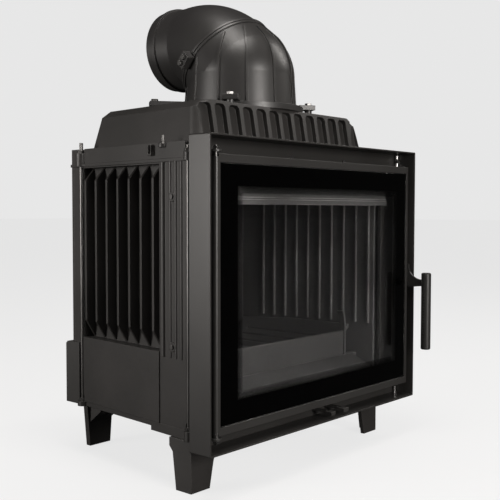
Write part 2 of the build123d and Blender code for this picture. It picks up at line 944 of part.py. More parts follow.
# Screws of the case: through the front plate into the rim, and in the bosses of the side walls
with BuildPart() as case_screws:
    for screw_x in (plate_screw_left, plate_screw_right):
        face_plane = Plane(
            origin=(screw_x, back(surround_depth), level(plate_screw_height)), z_dir=(0, -1, 0)
        )
        with BuildSketch(face_plane):
            Circle(screw_head_radius)
        extrude(amount=screw_head)
        with BuildSketch(face_plane):
            Circle(screw_radius)
        extrude(amount=-(plate_thickness + wall))
    for side in (-1, 1):
        for screw_height in (side_screw_high, side_screw_low):
            place = right_wall_plane * Location((along(side_screw_depth), level(screw_height), boss_rise))
            screw_plane = Plane(
                origin=(side * place.position.X, place.position.Y, place.position.Z),
                z_dir=(side * right_wall_plane.z_dir.X, right_wall_plane.z_dir.Y, 0),
            )
            with BuildSketch(screw_plane):
                Circle(screw_head_radius)
            extrude(amount=screw_head)
            with BuildSketch(screw_plane):
                Circle(screw_radius)
            extrude(amount=-(column_wall + 2 * boss_rise))
case_screws.part.label = "case_screws"
export_step(case_screws.part, "parts/case_screws.step")

# Legs: angle castings that flare into the base
with BuildPart() as right_front_leg:
    inner_foot = leg_outer - leg_width
    with BuildSketch(Plane.XZ.offset(-back(leg_front))):
        with BuildLine():
            Polyline(
                (inner_foot - leg_flare, level(base_low)),
                (leg_outer, level(base_low)),
                (leg_outer, 0),
                (inner_foot, 0),
                (inner_foot - leg_flare / 5, floor_gap / 2),
            )
            ThreePointArc(
                (inner_foot - leg_flare / 5, floor_gap / 2),
                (inner_foot - leg_flare / 2.2, level(-leg_wall * 2)),
                (inner_foot - leg_flare, level(base_low)),
            )
        make_face()
    extrude(amount=-(leg_depth + leg_wall + leg_wall))
    seat_inner = pan_half_width + liner_fit
    seat_rear = leg_front + leg_depth + 2 * leg_wall
    block(seat_inner, leg_outer, leg_front, seat_rear, base_low, front_ledge_low)
    block(
        leg_outer - 2 * leg_width - leg_flare,
        leg_outer - leg_wall,
        leg_front + leg_wall,
        leg_front + 2 * leg_depth,
        -floor_gap,
        base_low - leg_flange,
        Mode.SUBTRACT,
    )
    with BuildSketch(Plane.YZ.offset(leg_outer - leg_wall)):
        Polygon(
            (back(leg_front + leg_depth), 0),
            (back(leg_front + leg_depth + leg_wall), level(base_low - 2 * leg_flange)),
            (back(leg_front + leg_depth + 2 * leg_wall), level(base_low - leg_flange)),
            (back(leg_front + 2 * leg_depth), level(base_low - leg_flange)),
            (back(leg_front + 2 * leg_depth), 0),
            align=None,
        )
    extrude(amount=leg_wall, mode=Mode.SUBTRACT)
    post(
        leg_outer - leg_bolt_in,
        leg_front + leg_bolt_back,
        base_low - leg_flange,
        front_ledge_low,
        bolt_radius + rod_clearance,
        Mode.SUBTRACT,
    )
right_front_leg.part.label = "right_front_leg"
export_step(right_front_leg.part, "parts/right_front_leg.step")

with BuildPart() as left_front_leg:
    mirror(right_front_leg.part, about=Plane.YZ)
left_front_leg.part.label = "left_front_leg"
export_step(left_front_leg.part, "parts/left_front_leg.step")

with BuildPart() as right_rear_leg:
    with BuildSketch(Plane.XZ.offset(-back(rear_leg_front))):
        Polygon(
            (rear_leg_outer, 0),
            (rear_leg_outer + leg_wall, level(duct_low)),
            (rear_leg_outer - rear_leg_width - leg_wall, level(duct_low)),
            (rear_leg_outer - rear_leg_width, 0),
            align=None,
        )
    extrude(amount=-(body_back - rear_leg_front))
    with BuildSketch(Plane.YZ.offset(rear_leg_outer - rear_leg_width)):
        Polygon(
            (back(rear_leg_front), level(base_low)),
            (back(rear_leg_front - 4 * leg_wall), level(base_low)),
            (back(rear_leg_front - 4 * leg_wall), level(base_low - leg_flange)),
            (back(rear_leg_front), level(-4 * leg_wall)),
            align=None,
        )
    extrude(amount=rear_leg_width)
    bolt_place = (rear_leg_outer - rear_leg_width / 2, rear_leg_front - 2 * leg_wall)
    post(*bolt_place, base_low - leg_flange, base_low, bolt_radius + rod_clearance, Mode.SUBTRACT)
    post(*bolt_place, -4 * leg_wall, base_low - leg_flange, bolt_room, Mode.SUBTRACT)
right_rear_leg.part.label = "right_rear_leg"
export_step(right_rear_leg.part, "parts/right_rear_leg.step")

with BuildPart() as left_rear_leg:
    mirror(right_rear_leg.part, about=Plane.YZ)
left_rear_leg.part.label = "left_rear_leg"
export_step(left_rear_leg.part, "parts/left_rear_leg.step")

with BuildPart() as leg_bolts:
    for bolt_x, bolt_depth, bolt_low in leg_bolt_places:
        seat = Plane((bolt_x, back(bolt_depth), level(base_low - leg_flange - bolt_head)))
        nut(seat, bolt_width, bolt_head)
        post(bolt_x, bolt_depth, base_low - leg_flange, bolt_low + bolt_depth_in, bolt_radius)
leg_bolts.part.label = "leg_bolts"
export_step(leg_bolts.part, "parts/leg_bolts.step")

# Flue dome: tapered upright, a ball at the bend, a slanted neck, and thin upright ribs
dome_ring = Plane((0, back(dome_depth), level(deck_height)))
bend_height = deck_height + dome_upright
joint_depth = dome_depth + dome_neck * sin(slant)
joint_height = bend_height + dome_neck * cos(slant)
joint_plane = Plane(
    origin=(0, back(joint_depth), level(joint_height)), x_dir=(1, 0, 0), z_dir=(0, sin(slant), cos(slant))
)


def dome_shape(shift):
    """Solid of the dome with its wall moved out by a shift."""
    from_below = (Align.CENTER, Align.CENTER, Align.MIN)
    with BuildPart(mode=Mode.PRIVATE) as shape:
        with Locations(dome_ring):
            Cone(dome_radius + shift, shoulder_radius + shift, dome_upright, align=from_below)
        bend_centre = (0, back(dome_depth), level(bend_height))
        with Locations(Plane(bend_centre, x_dir=(0, -1, 0), z_dir=(-1, 0, 0))):
            Sphere(shoulder_radius + shift, arc_size3=joint_angle, align=None)
        with Locations(Plane(bend_centre, x_dir=(1, 0, 0), z_dir=joint_plane.z_dir)):
            Cone(shoulder_radius + shift, mouth_radius + shift, dome_neck, align=from_below)
        split(bisect_by=joint_plane, keep=Keep.BOTTOM)
        split(bisect_by=dome_ring, keep=Keep.TOP)
    return shape.part


with BuildPart() as dome_skin:
    add(dome_shape(dome_rib_rise))
    with BuildPart(mode=Mode.PRIVATE) as rib_blades:
        blade_height = 2 * (dome_upright + dome_neck)
        for index in range(dome_rib_count):
            turn = dome_rib_first + index * dome_rib_pitch
            blade = Location((0, back(dome_depth), level(deck_height)), (0, 0, -90 - turn))
            with Locations(blade * Location((dome_radius, 0, blade_height / 2))):
                Box(dome_radius, dome_rib_width, blade_height)
    add(rib_blades.part, mode=Mode.INTERSECT)
    with BuildSketch(joint_plane.offset(-dome_rib_end)):
        Circle(2 * dome_radius)
    extrude(amount=2 * dome_rib_end, mode=Mode.SUBTRACT)

with BuildPart() as flue_dome:
    with BuildSketch(dome_ring):
        Circle(dome_flange_radius)
    extrude(amount=dome_flange)
    add(dome_shape(0))
    add(dome_skin.part)
    with BuildSketch(joint_plane):
        Circle(mouth_radius + joint_lip_rise)
    extrude(amount=-joint_lip)
    add(dome_shape(-dome_wall), mode=Mode.SUBTRACT)
flue_dome.part.label = "flue_dome"
export_step(flue_dome.part, "parts/flue_dome.step")

# Clamps that hold the dome's flange down on the deck: a finger over the flange on a narrow foot
clamp_places = [
    (turn, dome_flange_radius + reach)
    for turn, reach in (
        (-front_clamp_turn, front_clamp_reach),
        (front_clamp_turn, front_clamp_reach),
        (-rear_clamp_turn, rear_clamp_reach),
        (rear_clamp_turn, rear_clamp_reach),
    )
]
with BuildPart() as dome_clamps:
    for turn, bolt_ring in clamp_places:
        spoke = Location((0, back(dome_depth), level(deck_height)), (0, 0, turn - 90))
        finger_start = dome_flange_radius - clamp_overlap
        finger_end = bolt_ring + clamp_end
        finger_middle = ((finger_start + finger_end) / 2, 0, dome_flange + clamp_rise / 2)
        with Locations(spoke * Location(finger_middle)):
            Box(finger_end - finger_start, clamp_width, clamp_rise)
        with Locations(spoke * Location((bolt_ring, 0, dome_flange / 2))):
            Cylinder(clamp_foot_width / 2, dome_flange)
            Cylinder(bolt_radius + rod_clearance, 4 * clamp_rise + dome_flange, mode=Mode.SUBTRACT)
    post(0, dome_depth, deck_height, deck_height + dome_flange, dome_flange_radius, Mode.SUBTRACT)
    add(dome_shape(dome_rib_rise + liner_fit), mode=Mode.SUBTRACT)
dome_clamps.part.label = "dome_clamps"
export_step(dome_clamps.part, "parts/dome_clamps.step")

# Joint seal, a flat ring of ceramic rope in the gap
with BuildPart() as flue_joint_seal:
    with BuildSketch(joint_plane):
        Circle(mouth_radius - liner_fit)
        Circle(mouth_radius - dome_wall + liner_fit, mode=Mode.SUBTRACT)
    extrude(amount=joint_gap - liner_fit)
flue_joint_seal.part.label = "flue_joint_seal"
export_step(flue_joint_seal.part, "parts/flue_joint_seal.step")

# Clamps at both sides of the slanted joint, hooked over both lips
joint_clamp_turns = (joint_clamp_turn, 180 - joint_clamp_turn)
with BuildPart() as joint_clamps:
    lip_edge = mouth_radius + joint_lip_rise + liner_fit
    inner_edge = mouth_radius + joint_lip_rise / 2
    for turn in joint_clamp_turns:
        claw_low = -joint_lip - joint_clamp_claw
        claw_high = joint_gap + joint_lip + liner_fit + joint_clamp_claw
        outer_edge = lip_edge + joint_clamp_thickness
        spoke = joint_plane * Location((0, 0, 0), (0, 0, turn))
        with Locations(spoke * Location(((lip_edge + outer_edge) / 2, 0, (claw_low + claw_high) / 2))):
            Box(joint_clamp_thickness, joint_clamp_width, claw_high - claw_low)
        for n_low, n_high in ((claw_low, -joint_lip), (claw_high - joint_clamp_claw, claw_high)):
            with Locations(spoke * Location(((inner_edge + lip_edge) / 2, 0, (n_low + n_high) / 2))):
                Box(lip_edge - inner_edge, joint_clamp_width, n_high - n_low)
    with BuildSketch(joint_plane.offset(-joint_lip)):
        Circle(lip_edge)
    extrude(amount=2 * joint_lip + joint_gap + liner_fit, mode=Mode.SUBTRACT)
    with BuildSketch(joint_plane.offset(-joint_lip - joint_clamp_claw)):
        Circle(inner_edge)
    extrude(amount=4 * joint_clamp_claw + 2 * joint_lip, mode=Mode.SUBTRACT)
joint_clamps.part.label = "joint_clamps"
export_step(joint_clamps.part, "parts/joint_clamps.step")

# Bolts of the dome clamps and of the joint clamps
with BuildPart() as flue_clamp_bolts:
    for turn, bolt_ring in clamp_places:
        spoke = Location((0, back(dome_depth), level(deck_height)), (0, 0, turn - 90))
        seat = spoke * Location((bolt_ring, 0, dome_flange + clamp_rise))
        nut(Plane(seat), bolt_width, bolt_head)
        with BuildSketch(Plane(seat)) as shank:
            Circle(bolt_radius)
        extrude(shank.sketch, amount=-(dome_flange + clamp_rise))
    for turn in joint_clamp_turns:
        spoke = joint_plane * Location((0, 0, 0), (0, 0, turn))
        for shift in (-joint_clamp_width / 4, joint_clamp_width / 4):
            seat = spoke * Location((outer_edge, shift, joint_gap / 2), (0, 90, 0))
            nut(Plane(seat), joint_bolt_width, bolt_head)
flue_clamp_bolts.part.label = "flue_clamp_bolts"
export_step(flue_clamp_bolts.part, "parts/flue_clamp_bolts.step")

# Flue elbow: spigot in the dome, reducing bend, round collar with a bead
arc_depth = joint_depth + elbow_bend * sin(slant)
arc_height = joint_height - elbow_bend * cos(slant)
collar_start = arc_depth
collar_height = arc_height + elbow_bend


def elbow_section(turn, radius):
    """Round section of the elbow, turned from the slanted joint towards the collar."""
    angle = slant - radians(turn)
    plane = Plane(
        origin=(0, back(arc_depth - elbow_bend * sin(angle)), level(arc_height + elbow_bend * cos(angle))),
        x_dir=(1, 0, 0),
        z_dir=(0, cos(angle), sin(angle)),
    )
    with BuildSketch(plane) as section:
        Circle(radius)
    return section.sketch


elbow_turns = (15.0, 30.0, 45.0)
big_end = mouth_radius - liner_fit
radius_step = (big_end - collar_radius) / len(elbow_turns)


def elbow_sections(inward):
    """Sections from the slanted joint to the collar, made smaller by a wall."""
    start_radius = big_end if inward == 0 else spigot_radius - spigot_wall
    with BuildSketch(joint_plane.offset(joint_gap)) as mouth:
        Circle(start_radius)
    later = [
        elbow_section(turn, big_end - inward - (index + 1) * radius_step)
        for index, turn in enumerate(elbow_turns)
    ]
    return [mouth.sketch] + later


with BuildPart() as flue_elbow:
    loft(elbow_sections(0))
    with BuildSketch(joint_plane.offset(joint_gap)):
        Circle(mouth_radius + joint_lip_rise)
    extrude(amount=joint_lip)
    with BuildSketch(joint_plane.offset(-spigot_length)):
        Circle(spigot_radius)
    extrude(amount=spigot_length + joint_gap)
    with BuildSketch(Plane.XZ.offset(-back(collar_start))):
        with Locations((0, level(collar_height))):
            Circle(collar_radius)
    extrude(amount=-collar_length)
    bead_start = collar_start + collar_length - collar_bead_from_end
    with BuildSketch(Plane.XZ.offset(-back(bead_start))):
        with Locations((0, level(collar_height))):
            Circle(collar_radius + collar_bead_rise)
    extrude(amount=-collar_bead_width)
    loft(elbow_sections(elbow_wall), mode=Mode.SUBTRACT)
    with BuildSketch(joint_plane.offset(-spigot_length)):
        Circle(spigot_radius - spigot_wall)
    extrude(amount=spigot_length + joint_gap, mode=Mode.SUBTRACT)
    with BuildSketch(Plane.XZ.offset(-back(collar_start))):
        with Locations((0, level(collar_height))):
            Circle(collar_radius - elbow_wall)
    extrude(amount=-collar_length, mode=Mode.SUBTRACT)
flue_elbow.part.label = "flue_elbow"
export_step(flue_elbow.part, "parts/flue_elbow.step")

# Hinge brackets: nose round the pin, plate back to the front plate, short upright leg
hinge_x = door_left
hinge_depth = door_face + hinge_radius
bracket_levels = (
    ("upper_hinge_bracket", door_high + bracket_gap, 1),
    ("lower_hinge_bracket", door_low - bracket_gap - bracket_thickness, -1),
)
for bracket_name, bracket_low, leg_side in bracket_levels:
    with BuildPart() as hinge_bracket:
        post(hinge_x, hinge_depth, bracket_low, bracket_low + bracket_thickness, bracket_nose)
        with BuildSketch(Plane.XY.offset(level(bracket_low))):
            Polygon(
                (hinge_x - bracket_nose, back(hinge_depth)),
                (hinge_x + bracket_nose, back(hinge_depth)),
                (hinge_x - bracket_nose + bracket_reach, back(surround_depth)),
                (hinge_x - bracket_nose, back(surround_depth)),
                align=None,
            )
        extrude(amount=bracket_thickness)
        leg_low = bracket_low if leg_side > 0 else bracket_low + bracket_thickness - bracket_leg
        block(
            hinge_x - bracket_nose,
            hinge_x - bracket_nose + bracket_reach,
            surround_depth - bracket_plate,
            surround_depth,
            leg_low,
            leg_low + bracket_leg,
        )
        post(
            hinge_x,
            hinge_depth,
            bracket_low,
            bracket_low + bracket_thickness,
            hinge_pin_radius + hinge_clearance,
            Mode.SUBTRACT,
        )
    hinge_bracket.part.label = bracket_name
    export_step(hinge_bracket.part, f"parts/{bracket_name}.step")

# Hinge pins; the lower one has a collar that carries the door
tube_low = door_low + hinge_tube_margin
tube_high = door_high - hinge_tube_margin
upper_seat = door_high + bracket_gap
lower_seat = door_low - bracket_gap
with BuildPart() as hinge_pins:
    pin_top = upper_seat + bracket_thickness + hinge_nut_height + hinge_thread
    pin_bottom = lower_seat - bracket_thickness - hinge_nut_height - hinge_thread
    post(hinge_x, hinge_depth, tube_high - pin_insert, pin_top, hinge_pin_radius)
    post(hinge_x, hinge_depth, pin_bottom, tube_low + pin_insert, hinge_pin_radius)
    post(hinge_x, hinge_depth, lower_seat, tube_low - gasket_gap, hinge_radius)
hinge_pins.part.label = "hinge_pins"
export_step(hinge_pins.part, "parts/hinge_pins.step")

with BuildPart() as hinge_nuts:
    for nut_low in (upper_seat + bracket_thickness, lower_seat - bracket_thickness - hinge_nut_height):
        nut(Plane((hinge_x, back(hinge_depth), level(nut_low))), hinge_nut_width, hinge_nut_height)
        post(hinge_x, hinge_depth, nut_low, nut_low + hinge_nut_height, hinge_pin_radius, Mode.SUBTRACT)
hinge_nuts.part.label = "hinge_nuts"
export_step(hinge_nuts.part, "parts/hinge_nuts.step")

# Catch rod on the right with its brackets, nuts and the keeper that the latch hooks behind
rod_foot = sheet
rod_head = surround_height - sheet - catch_rod_margin
bracket_heights = (catch_bracket_low, surround_height - catch_bracket_low - catch_bracket_height)
with BuildPart() as catch_rod:
    post(catch_rod_x, catch_rod_depth, rod_foot, rod_head, catch_rod_radius)
catch_rod.part.label = "catch_rod"
export_step(catch_rod.part, "parts/catch_rod.step")

with BuildPart() as catch_rod_brackets:
    for bracket_low in bracket_heights:
        block(
            catch_rod_x - bracket_nose / 2,
            half_surround - sheet,
            catch_rod_depth - bracket_nose / 2,
            surround_depth,
            bracket_low,
            bracket_low + catch_bracket_height,
        )
        post(
            catch_rod_x,
            catch_rod_depth,
            bracket_low,
            bracket_low + catch_bracket_height,
            catch_rod_radius,
            Mode.SUBTRACT,
        )
catch_rod_brackets.part.label = "catch_rod_brackets"
export_step(catch_rod_brackets.part, "parts/catch_rod_brackets.step")

with BuildPart() as catch_rod_nuts:
    for nut_low in (bracket_heights[0] + catch_bracket_height, bracket_heights[1] + catch_bracket_height):
        nut(Plane((catch_rod_x, back(catch_rod_depth), level(nut_low))), catch_nut_width, catch_nut_height)
        nut_top = nut_low + catch_nut_height
        post(catch_rod_x, catch_rod_depth, nut_low, nut_top, catch_rod_radius, Mode.SUBTRACT)
catch_rod_nuts.part.label = "catch_rod_nuts"
export_step(catch_rod_nuts.part, "parts/catch_rod_nuts.step")

lip_low = tooth_top + keeper_gap
keeper_low = lip_low + keeper_top_gap
keeper_back = catch_rod_depth + catch_rod_radius + lever_play
with BuildPart() as latch_keeper:
    keeper_left = catch_rod_x - keeper_half_width
    keeper_right = catch_rod_x + keeper_half_width
    keeper_high = keeper_low + keeper_bar
    keeper_front = tail_end + lever_gap
    block(keeper_left, keeper_right, keeper_front, keeper_back, lip_low, keeper_high)
    block(keeper_left, keeper_right, keeper_lip_front, keeper_front, keeper_low, keeper_high)
    block(
        keeper_left,
        keeper_right,
        keeper_lip_front,
        keeper_lip_front + keeper_lip,
        lip_low,
        keeper_high,
    )
    post(catch_rod_x, catch_rod_depth, lip_low, keeper_high, catch_rod_radius, Mode.SUBTRACT)
latch_keeper.part.label = "latch_keeper"
export_step(latch_keeper.part, "parts/latch_keeper.step")

# Lining: ribbed side plates with a sloping ledge for the baffle, and a back plate
liner_face = -liner_inset - liner_thickness


def baffle_level(depth):
    """Height of the baffle's underside at a depth; it rises towards the back."""
    return baffle_low + baffle_rise * (depth - baffle_front)


with BuildPart() as right_liner:
    wall_block(plate_back, body_rear, ledge_top, recess_high, liner_face, -liner_inset)
    for index in range(liner_rib_count):
        rib_depth = liner_rib_first + index * liner_rib_pitch
        wall_block(
            rib_depth - liner_rib_width / 2,
            rib_depth + liner_rib_width / 2,
            liner_rib_low,
            min(liner_rib_high, baffle_level(rib_depth) - baffle_ledge),
            liner_face - liner_rib,
            liner_face,
        )
    ledge_plane = Plane(
        origin=(right_wall_plane * Location((0, 0, liner_face))).position,
        x_dir=right_wall_plane.x_dir,
        z_dir=right_wall_plane.z_dir,
    )
    with BuildSketch(ledge_plane):
        Polygon(
            (along(baffle_front), level(baffle_level(baffle_front) - baffle_ledge)),
            (along(liner_rear), level(baffle_level(liner_rear) - baffle_ledge)),
            (along(liner_rear), level(baffle_level(liner_rear) - liner_fit)),
            (along(baffle_front), level(baffle_level(baffle_front) - liner_fit)),
            align=None,
        )
    extrude(amount=-2 * liner_rib)
    block(0, half_surround, 0, liner_front, 0, rim_top, Mode.SUBTRACT)
    block(0, half_surround, liner_rear, body_back, 0, rim_top, Mode.SUBTRACT)
right_liner.part.label = "right_liner"
export_step(right_liner.part, "parts/right_liner.step")

with BuildPart() as left_liner:
    mirror(right_liner.part, about=Plane.YZ)
left_liner.part.label = "left_liner"
export_step(left_liner.part, "parts/left_liner.step")

with BuildPart() as back_liner:
    extrude(
        body_outline(ledge_top, liner_rear, liner_rear + liner_thickness, liner_inset),
        amount=recess_high - ledge_top,
    )
back_liner.part.label = "back_liner"
export_step(back_liner.part, "parts/back_liner.step")

# Baffles: the lower one rises to the back and rests on the ledges, the upper one lies on the lining
with BuildPart() as lower_baffle:
    baffle_inset = liner_inset + liner_thickness + liner_fit
    extrude(
        body_outline(baffle_low - baffle_ledge, baffle_front, liner_rear - liner_fit, baffle_inset),
        amount=slope_rise,
    )
    with BuildSketch(Plane.YZ.offset(-half_surround)):
        Polygon(
            (back(baffle_front), level(baffle_level(baffle_front))),
            (back(liner_rear), level(baffle_level(liner_rear))),
            (back(liner_rear), level(baffle_level(liner_rear) + baffle_thickness)),
            (back(baffle_front), level(baffle_level(baffle_front) + baffle_thickness)),
            align=None,
        )
    extrude(amount=surround_width, mode=Mode.INTERSECT)
lower_baffle.part.label = "lower_baffle"
export_step(lower_baffle.part, "parts/lower_baffle.step")

with BuildPart() as upper_baffle:
    extrude(
        body_outline(recess_high, upper_baffle_front, upper_baffle_rear, liner_inset - 1),
        amount=upper_baffle_thickness,
    )
upper_baffle.part.label = "upper_baffle"
export_step(upper_baffle.part, "parts/upper_baffle.step")

# Hearth: box that carries the grate, front strip, sloping side plates, grate and pan
with BuildPart() as ash_box:
    block(-ash_box_half_width, ash_box_half_width, ash_box_front, ash_box_rear, base_top, hearth_top)
    block(
        -ash_box_half_width + ash_box_wall,
        ash_box_half_width - ash_box_wall,
        ash_box_front + ash_box_wall,
        ash_box_rear - ash_box_wall,
        base_top,
        hearth_top,
        Mode.SUBTRACT,
    )
    block(
        -ash_box_half_width + ash_box_wall,
        ash_box_half_width - ash_box_wall,
        ash_box_front + ash_box_wall,
        ash_box_rear - ash_box_wall,
        base_top,
        base_top + pan_lift,
    )
    block(
        -hearth_strip_half_width,
        hearth_strip_half_width,
        ash_box_front,
        ash_box_front + hearth_strip_depth,
        hearth_top,
        hearth_top + hearth_plate,
    )
    block(
        left_lever_x - damper_width / 2 - 2 * slot_play,
        right_lever_x + damper_width / 2 + 2 * slot_play,
        ash_box_front,
        damper_front + damper_length + 2 * slot_play,
        base_top,
        lever_bar_top + slot_play,
        Mode.SUBTRACT,
    )
ash_box.part.label = "ash_box"
export_step(ash_box.part, "parts/ash_box.step")

with BuildPart() as grate:
    grate_front = ash_box_front + hearth_strip_depth + liner_fit
    block(
        -ash_box_half_width,
        ash_box_half_width,
        grate_front,
        ash_box_rear,
        hearth_top,
        hearth_top + hearth_plate,
    )
    with Locations((0, back((grate_front + ash_box_rear) / 2), level(hearth_top + hearth_plate / 2))):
        with GridLocations(grate_slot_pitch, 0, grate_slots, 1):
            Box(
                grate_slot_width,
                ash_box_rear - grate_front - 2 * grate_margin,
                hearth_plate,
                mode=Mode.SUBTRACT,
            )
grate.part.label = "grate"
export_step(grate.part, "parts/grate.step")

with BuildPart() as right_hearth_slope:
    slope_start = ash_box_half_width + liner_fit
    with BuildSketch(Plane.XZ.offset(-back(slope_front))):
        Polygon(
            (slope_start, level(hearth_top)),
            (slope_start + slope_run, level(hearth_top + slope_rise)),
            (slope_start + slope_run, level(hearth_top + slope_rise + hearth_plate)),
            (slope_start, level(hearth_top + hearth_plate)),
            align=None,
        )
    extrude(amount=-(liner_rear - liner_fit - slope_front))
    for index in range(slope_slot_count):
        slot_x = slope_start + slope_slot_pitch * (index + 1)
        block(
            slot_x - slope_slot_width / 2,
            slot_x + slope_slot_width / 2,
            slope_front + grate_margin,
            liner_rear - grate_margin,
            hearth_top,
            hearth_top + slope_rise + hearth_plate,
            Mode.SUBTRACT,
        )
    wall_block(0, body_back, 0, rim_low, liner_face - liner_fit, half_surround, Mode.SUBTRACT)
right_hearth_slope.part.label = "right_hearth_slope"
export_step(right_hearth_slope.part, "parts/right_hearth_slope.step")

with BuildPart() as left_hearth_slope:
    mirror(right_hearth_slope.part, about=Plane.YZ)
left_hearth_slope.part.label = "left_hearth_slope"
export_step(left_hearth_slope.part, "parts/left_hearth_slope.step")

with BuildPart() as ash_pan:
    pan_side = ash_box_half_width - ash_box_wall - pan_gap
    pan_front = ash_box_front + ash_box_wall + pan_gap
    pan_rear = ash_box_rear - ash_box_wall - pan_gap
    pan_low = base_top + pan_lift
    pan_high = hearth_top - pan_gap
    block(-pan_side, pan_side, pan_front, pan_rear, pan_low, pan_high)
    block(
        -pan_side + pan_wall,
        pan_side - pan_wall,
        pan_front + pan_wall,
        pan_rear - pan_wall,
        pan_low + pan_wall,
        pan_high,
        Mode.SUBTRACT,
    )
ash_pan.part.label = "ash_pan"
export_step(ash_pan.part, "parts/ash_pan.step")

hearth_floor = hearth_top + hearth_plate
with BuildPart() as log_guard:
    block(
        -guard_half_width,
        guard_half_width,
        ash_box_front,
        ash_box_front + guard_thickness,
        hearth_floor,
        hearth_floor + guard_height,
    )
    fillet(log_guard.edges().filter_by(Axis.X).group_by(Axis.Z)[-1], guard_thickness / 3)
log_guard.part.label = "log_guard"
export_step(log_guard.part, "parts/log_guard.step")

with BuildPart() as guard_posts:
    for side in (-1, 1):
        inner_x = side * (post_x - post_thickness / 2)
        outer_x = side * (post_x + post_thickness / 2)
        lean = side * post_lean
        with BuildSketch(Plane.XZ.offset(-back(ash_box_front))) as post_side:
            with BuildLine():
                Line((inner_x, level(hearth_floor)), (outer_x, level(hearth_floor)))
                Line((outer_x, level(hearth_floor)), (outer_x, level(hearth_floor + post_bend)))
                TangentArc(
                    (outer_x, level(hearth_floor + post_bend)),
                    (outer_x - lean, level(hearth_floor + post_height)),
                    tangent=(0, 1),
                )
                Line(
                    (outer_x - lean, level(hearth_floor + post_height)),
                    (inner_x - lean, level(hearth_floor + post_height)),
                )
                TangentArc(
                    (inner_x, level(hearth_floor + post_bend)),
                    (inner_x - lean, level(hearth_floor + post_height)),
                    tangent=(0, 1),
                )
                Line((inner_x, level(hearth_floor + post_bend)), (inner_x, level(hearth_floor)))
            make_face()
        extrude(amount=-hearth_strip_depth)
guard_posts.part.label = "guard_posts"
export_step(guard_posts.part, "parts/guard_posts.step")

with BuildPart() as front_sill:
    sill_front_top = hearth_floor - sill_drop
    sill_back = ash_box_front - liner_fit
    with BuildSketch(Plane.YZ.offset(-sill_half_width)):
        Polygon(
            (back(plate_back), level(sill_front_top)),
            (back(sill_back), level(hearth_floor)),
            (back(sill_back), level(hearth_floor - sill_thickness)),
            (back(plate_back), level(sill_front_top - sill_thickness)),
            align=None,
        )
    extrude(amount=2 * sill_half_width)
    block(
        -sill_slot_half_width,
        sill_slot_half_width,
        plate_back + 2 * sill_slot,
        plate_back + 3 * sill_slot,
        opening_low,
        hearth_floor,
        Mode.SUBTRACT,
    )
front_sill.part.label = "front_sill"
export_step(front_sill.part, "parts/front_sill.step")

# Air control: fixed port plate, two levers and the dampers that they slide
with BuildPart() as air_control_plate:
    plate_margin = slot_play
    block(
        left_lever_x - damper_width / 2 - plate_margin,
        right_lever_x + damper_width / 2 + plate_margin,
        damper_front,
        damper_front + damper_length + plate_margin,
        base_top,
        base_top + control_plate_thickness,
    )
    for lever_x in lever_places:
        for port_depth in port_depths:
            block(
                lever_x - port_length / 2,
                lever_x + port_length / 2,
                port_depth - port_width / 2,
                port_depth + port_width / 2,
                base_top,
                base_top + control_plate_thickness,
                Mode.SUBTRACT,
            )
air_control_plate.part.label = "air_control_plate"
export_step(air_control_plate.part, "parts/air_control_plate.step")

bar_low = lever_bar_top - lever_bar_thickness
for lever_name, damper_name, lever_x, lever_width in (
    ("left_air_lever", "left_damper", left_lever_x, left_lever_width),
    ("right_air_lever", "right_damper", right_lever_x, right_lever_width),
):
    with BuildPart() as air_lever:
        block(
            lever_x - lever_width / 2,
            lever_x + lever_width / 2,
            lever_front,
            damper_front,
            bar_low,
            lever_bar_top,
        )
        with BuildSketch(Plane.XZ.offset(-back(lever_front))) as tab:
            with Locations((lever_x, level(lever_bar_top - tab_drop / 2))):
                Rectangle(lever_width, tab_drop)
            fillet(tab.vertices().group_by(Axis.Y)[0], tab_corner)
        extrude(amount=-lever_bar_thickness)
        hole_height = level(lever_bar_top - lever_bar_thickness / 2)
        with BuildSketch(Plane((lever_x, back(lever_front + lever_width), hole_height))):
            SlotOverall(lever_hole_length, lever_hole_width, rotation=90)
        extrude(amount=lever_bar_thickness, both=True, mode=Mode.SUBTRACT)
    air_lever.part.label = lever_name
    export_step(air_lever.part, f"parts/{lever_name}.step")
    with BuildPart() as damper:
        block(
            lever_x - damper_width / 2,
            lever_x + damper_width / 2,
            damper_front,
            damper_front + damper_length,
            bar_low,
            lever_bar_top,
        )
        for port_depth in port_depths:
            block(
                lever_x - port_length / 2,
                lever_x + port_length / 2,
                port_depth + lever_travel - port_width / 2,
                port_depth + lever_travel + port_width / 2,
                bar_low,
                lever_bar_top,
                Mode.SUBTRACT,
            )
    damper.part.label = damper_name
    export_step(damper.part, f"parts/{damper_name}.step")

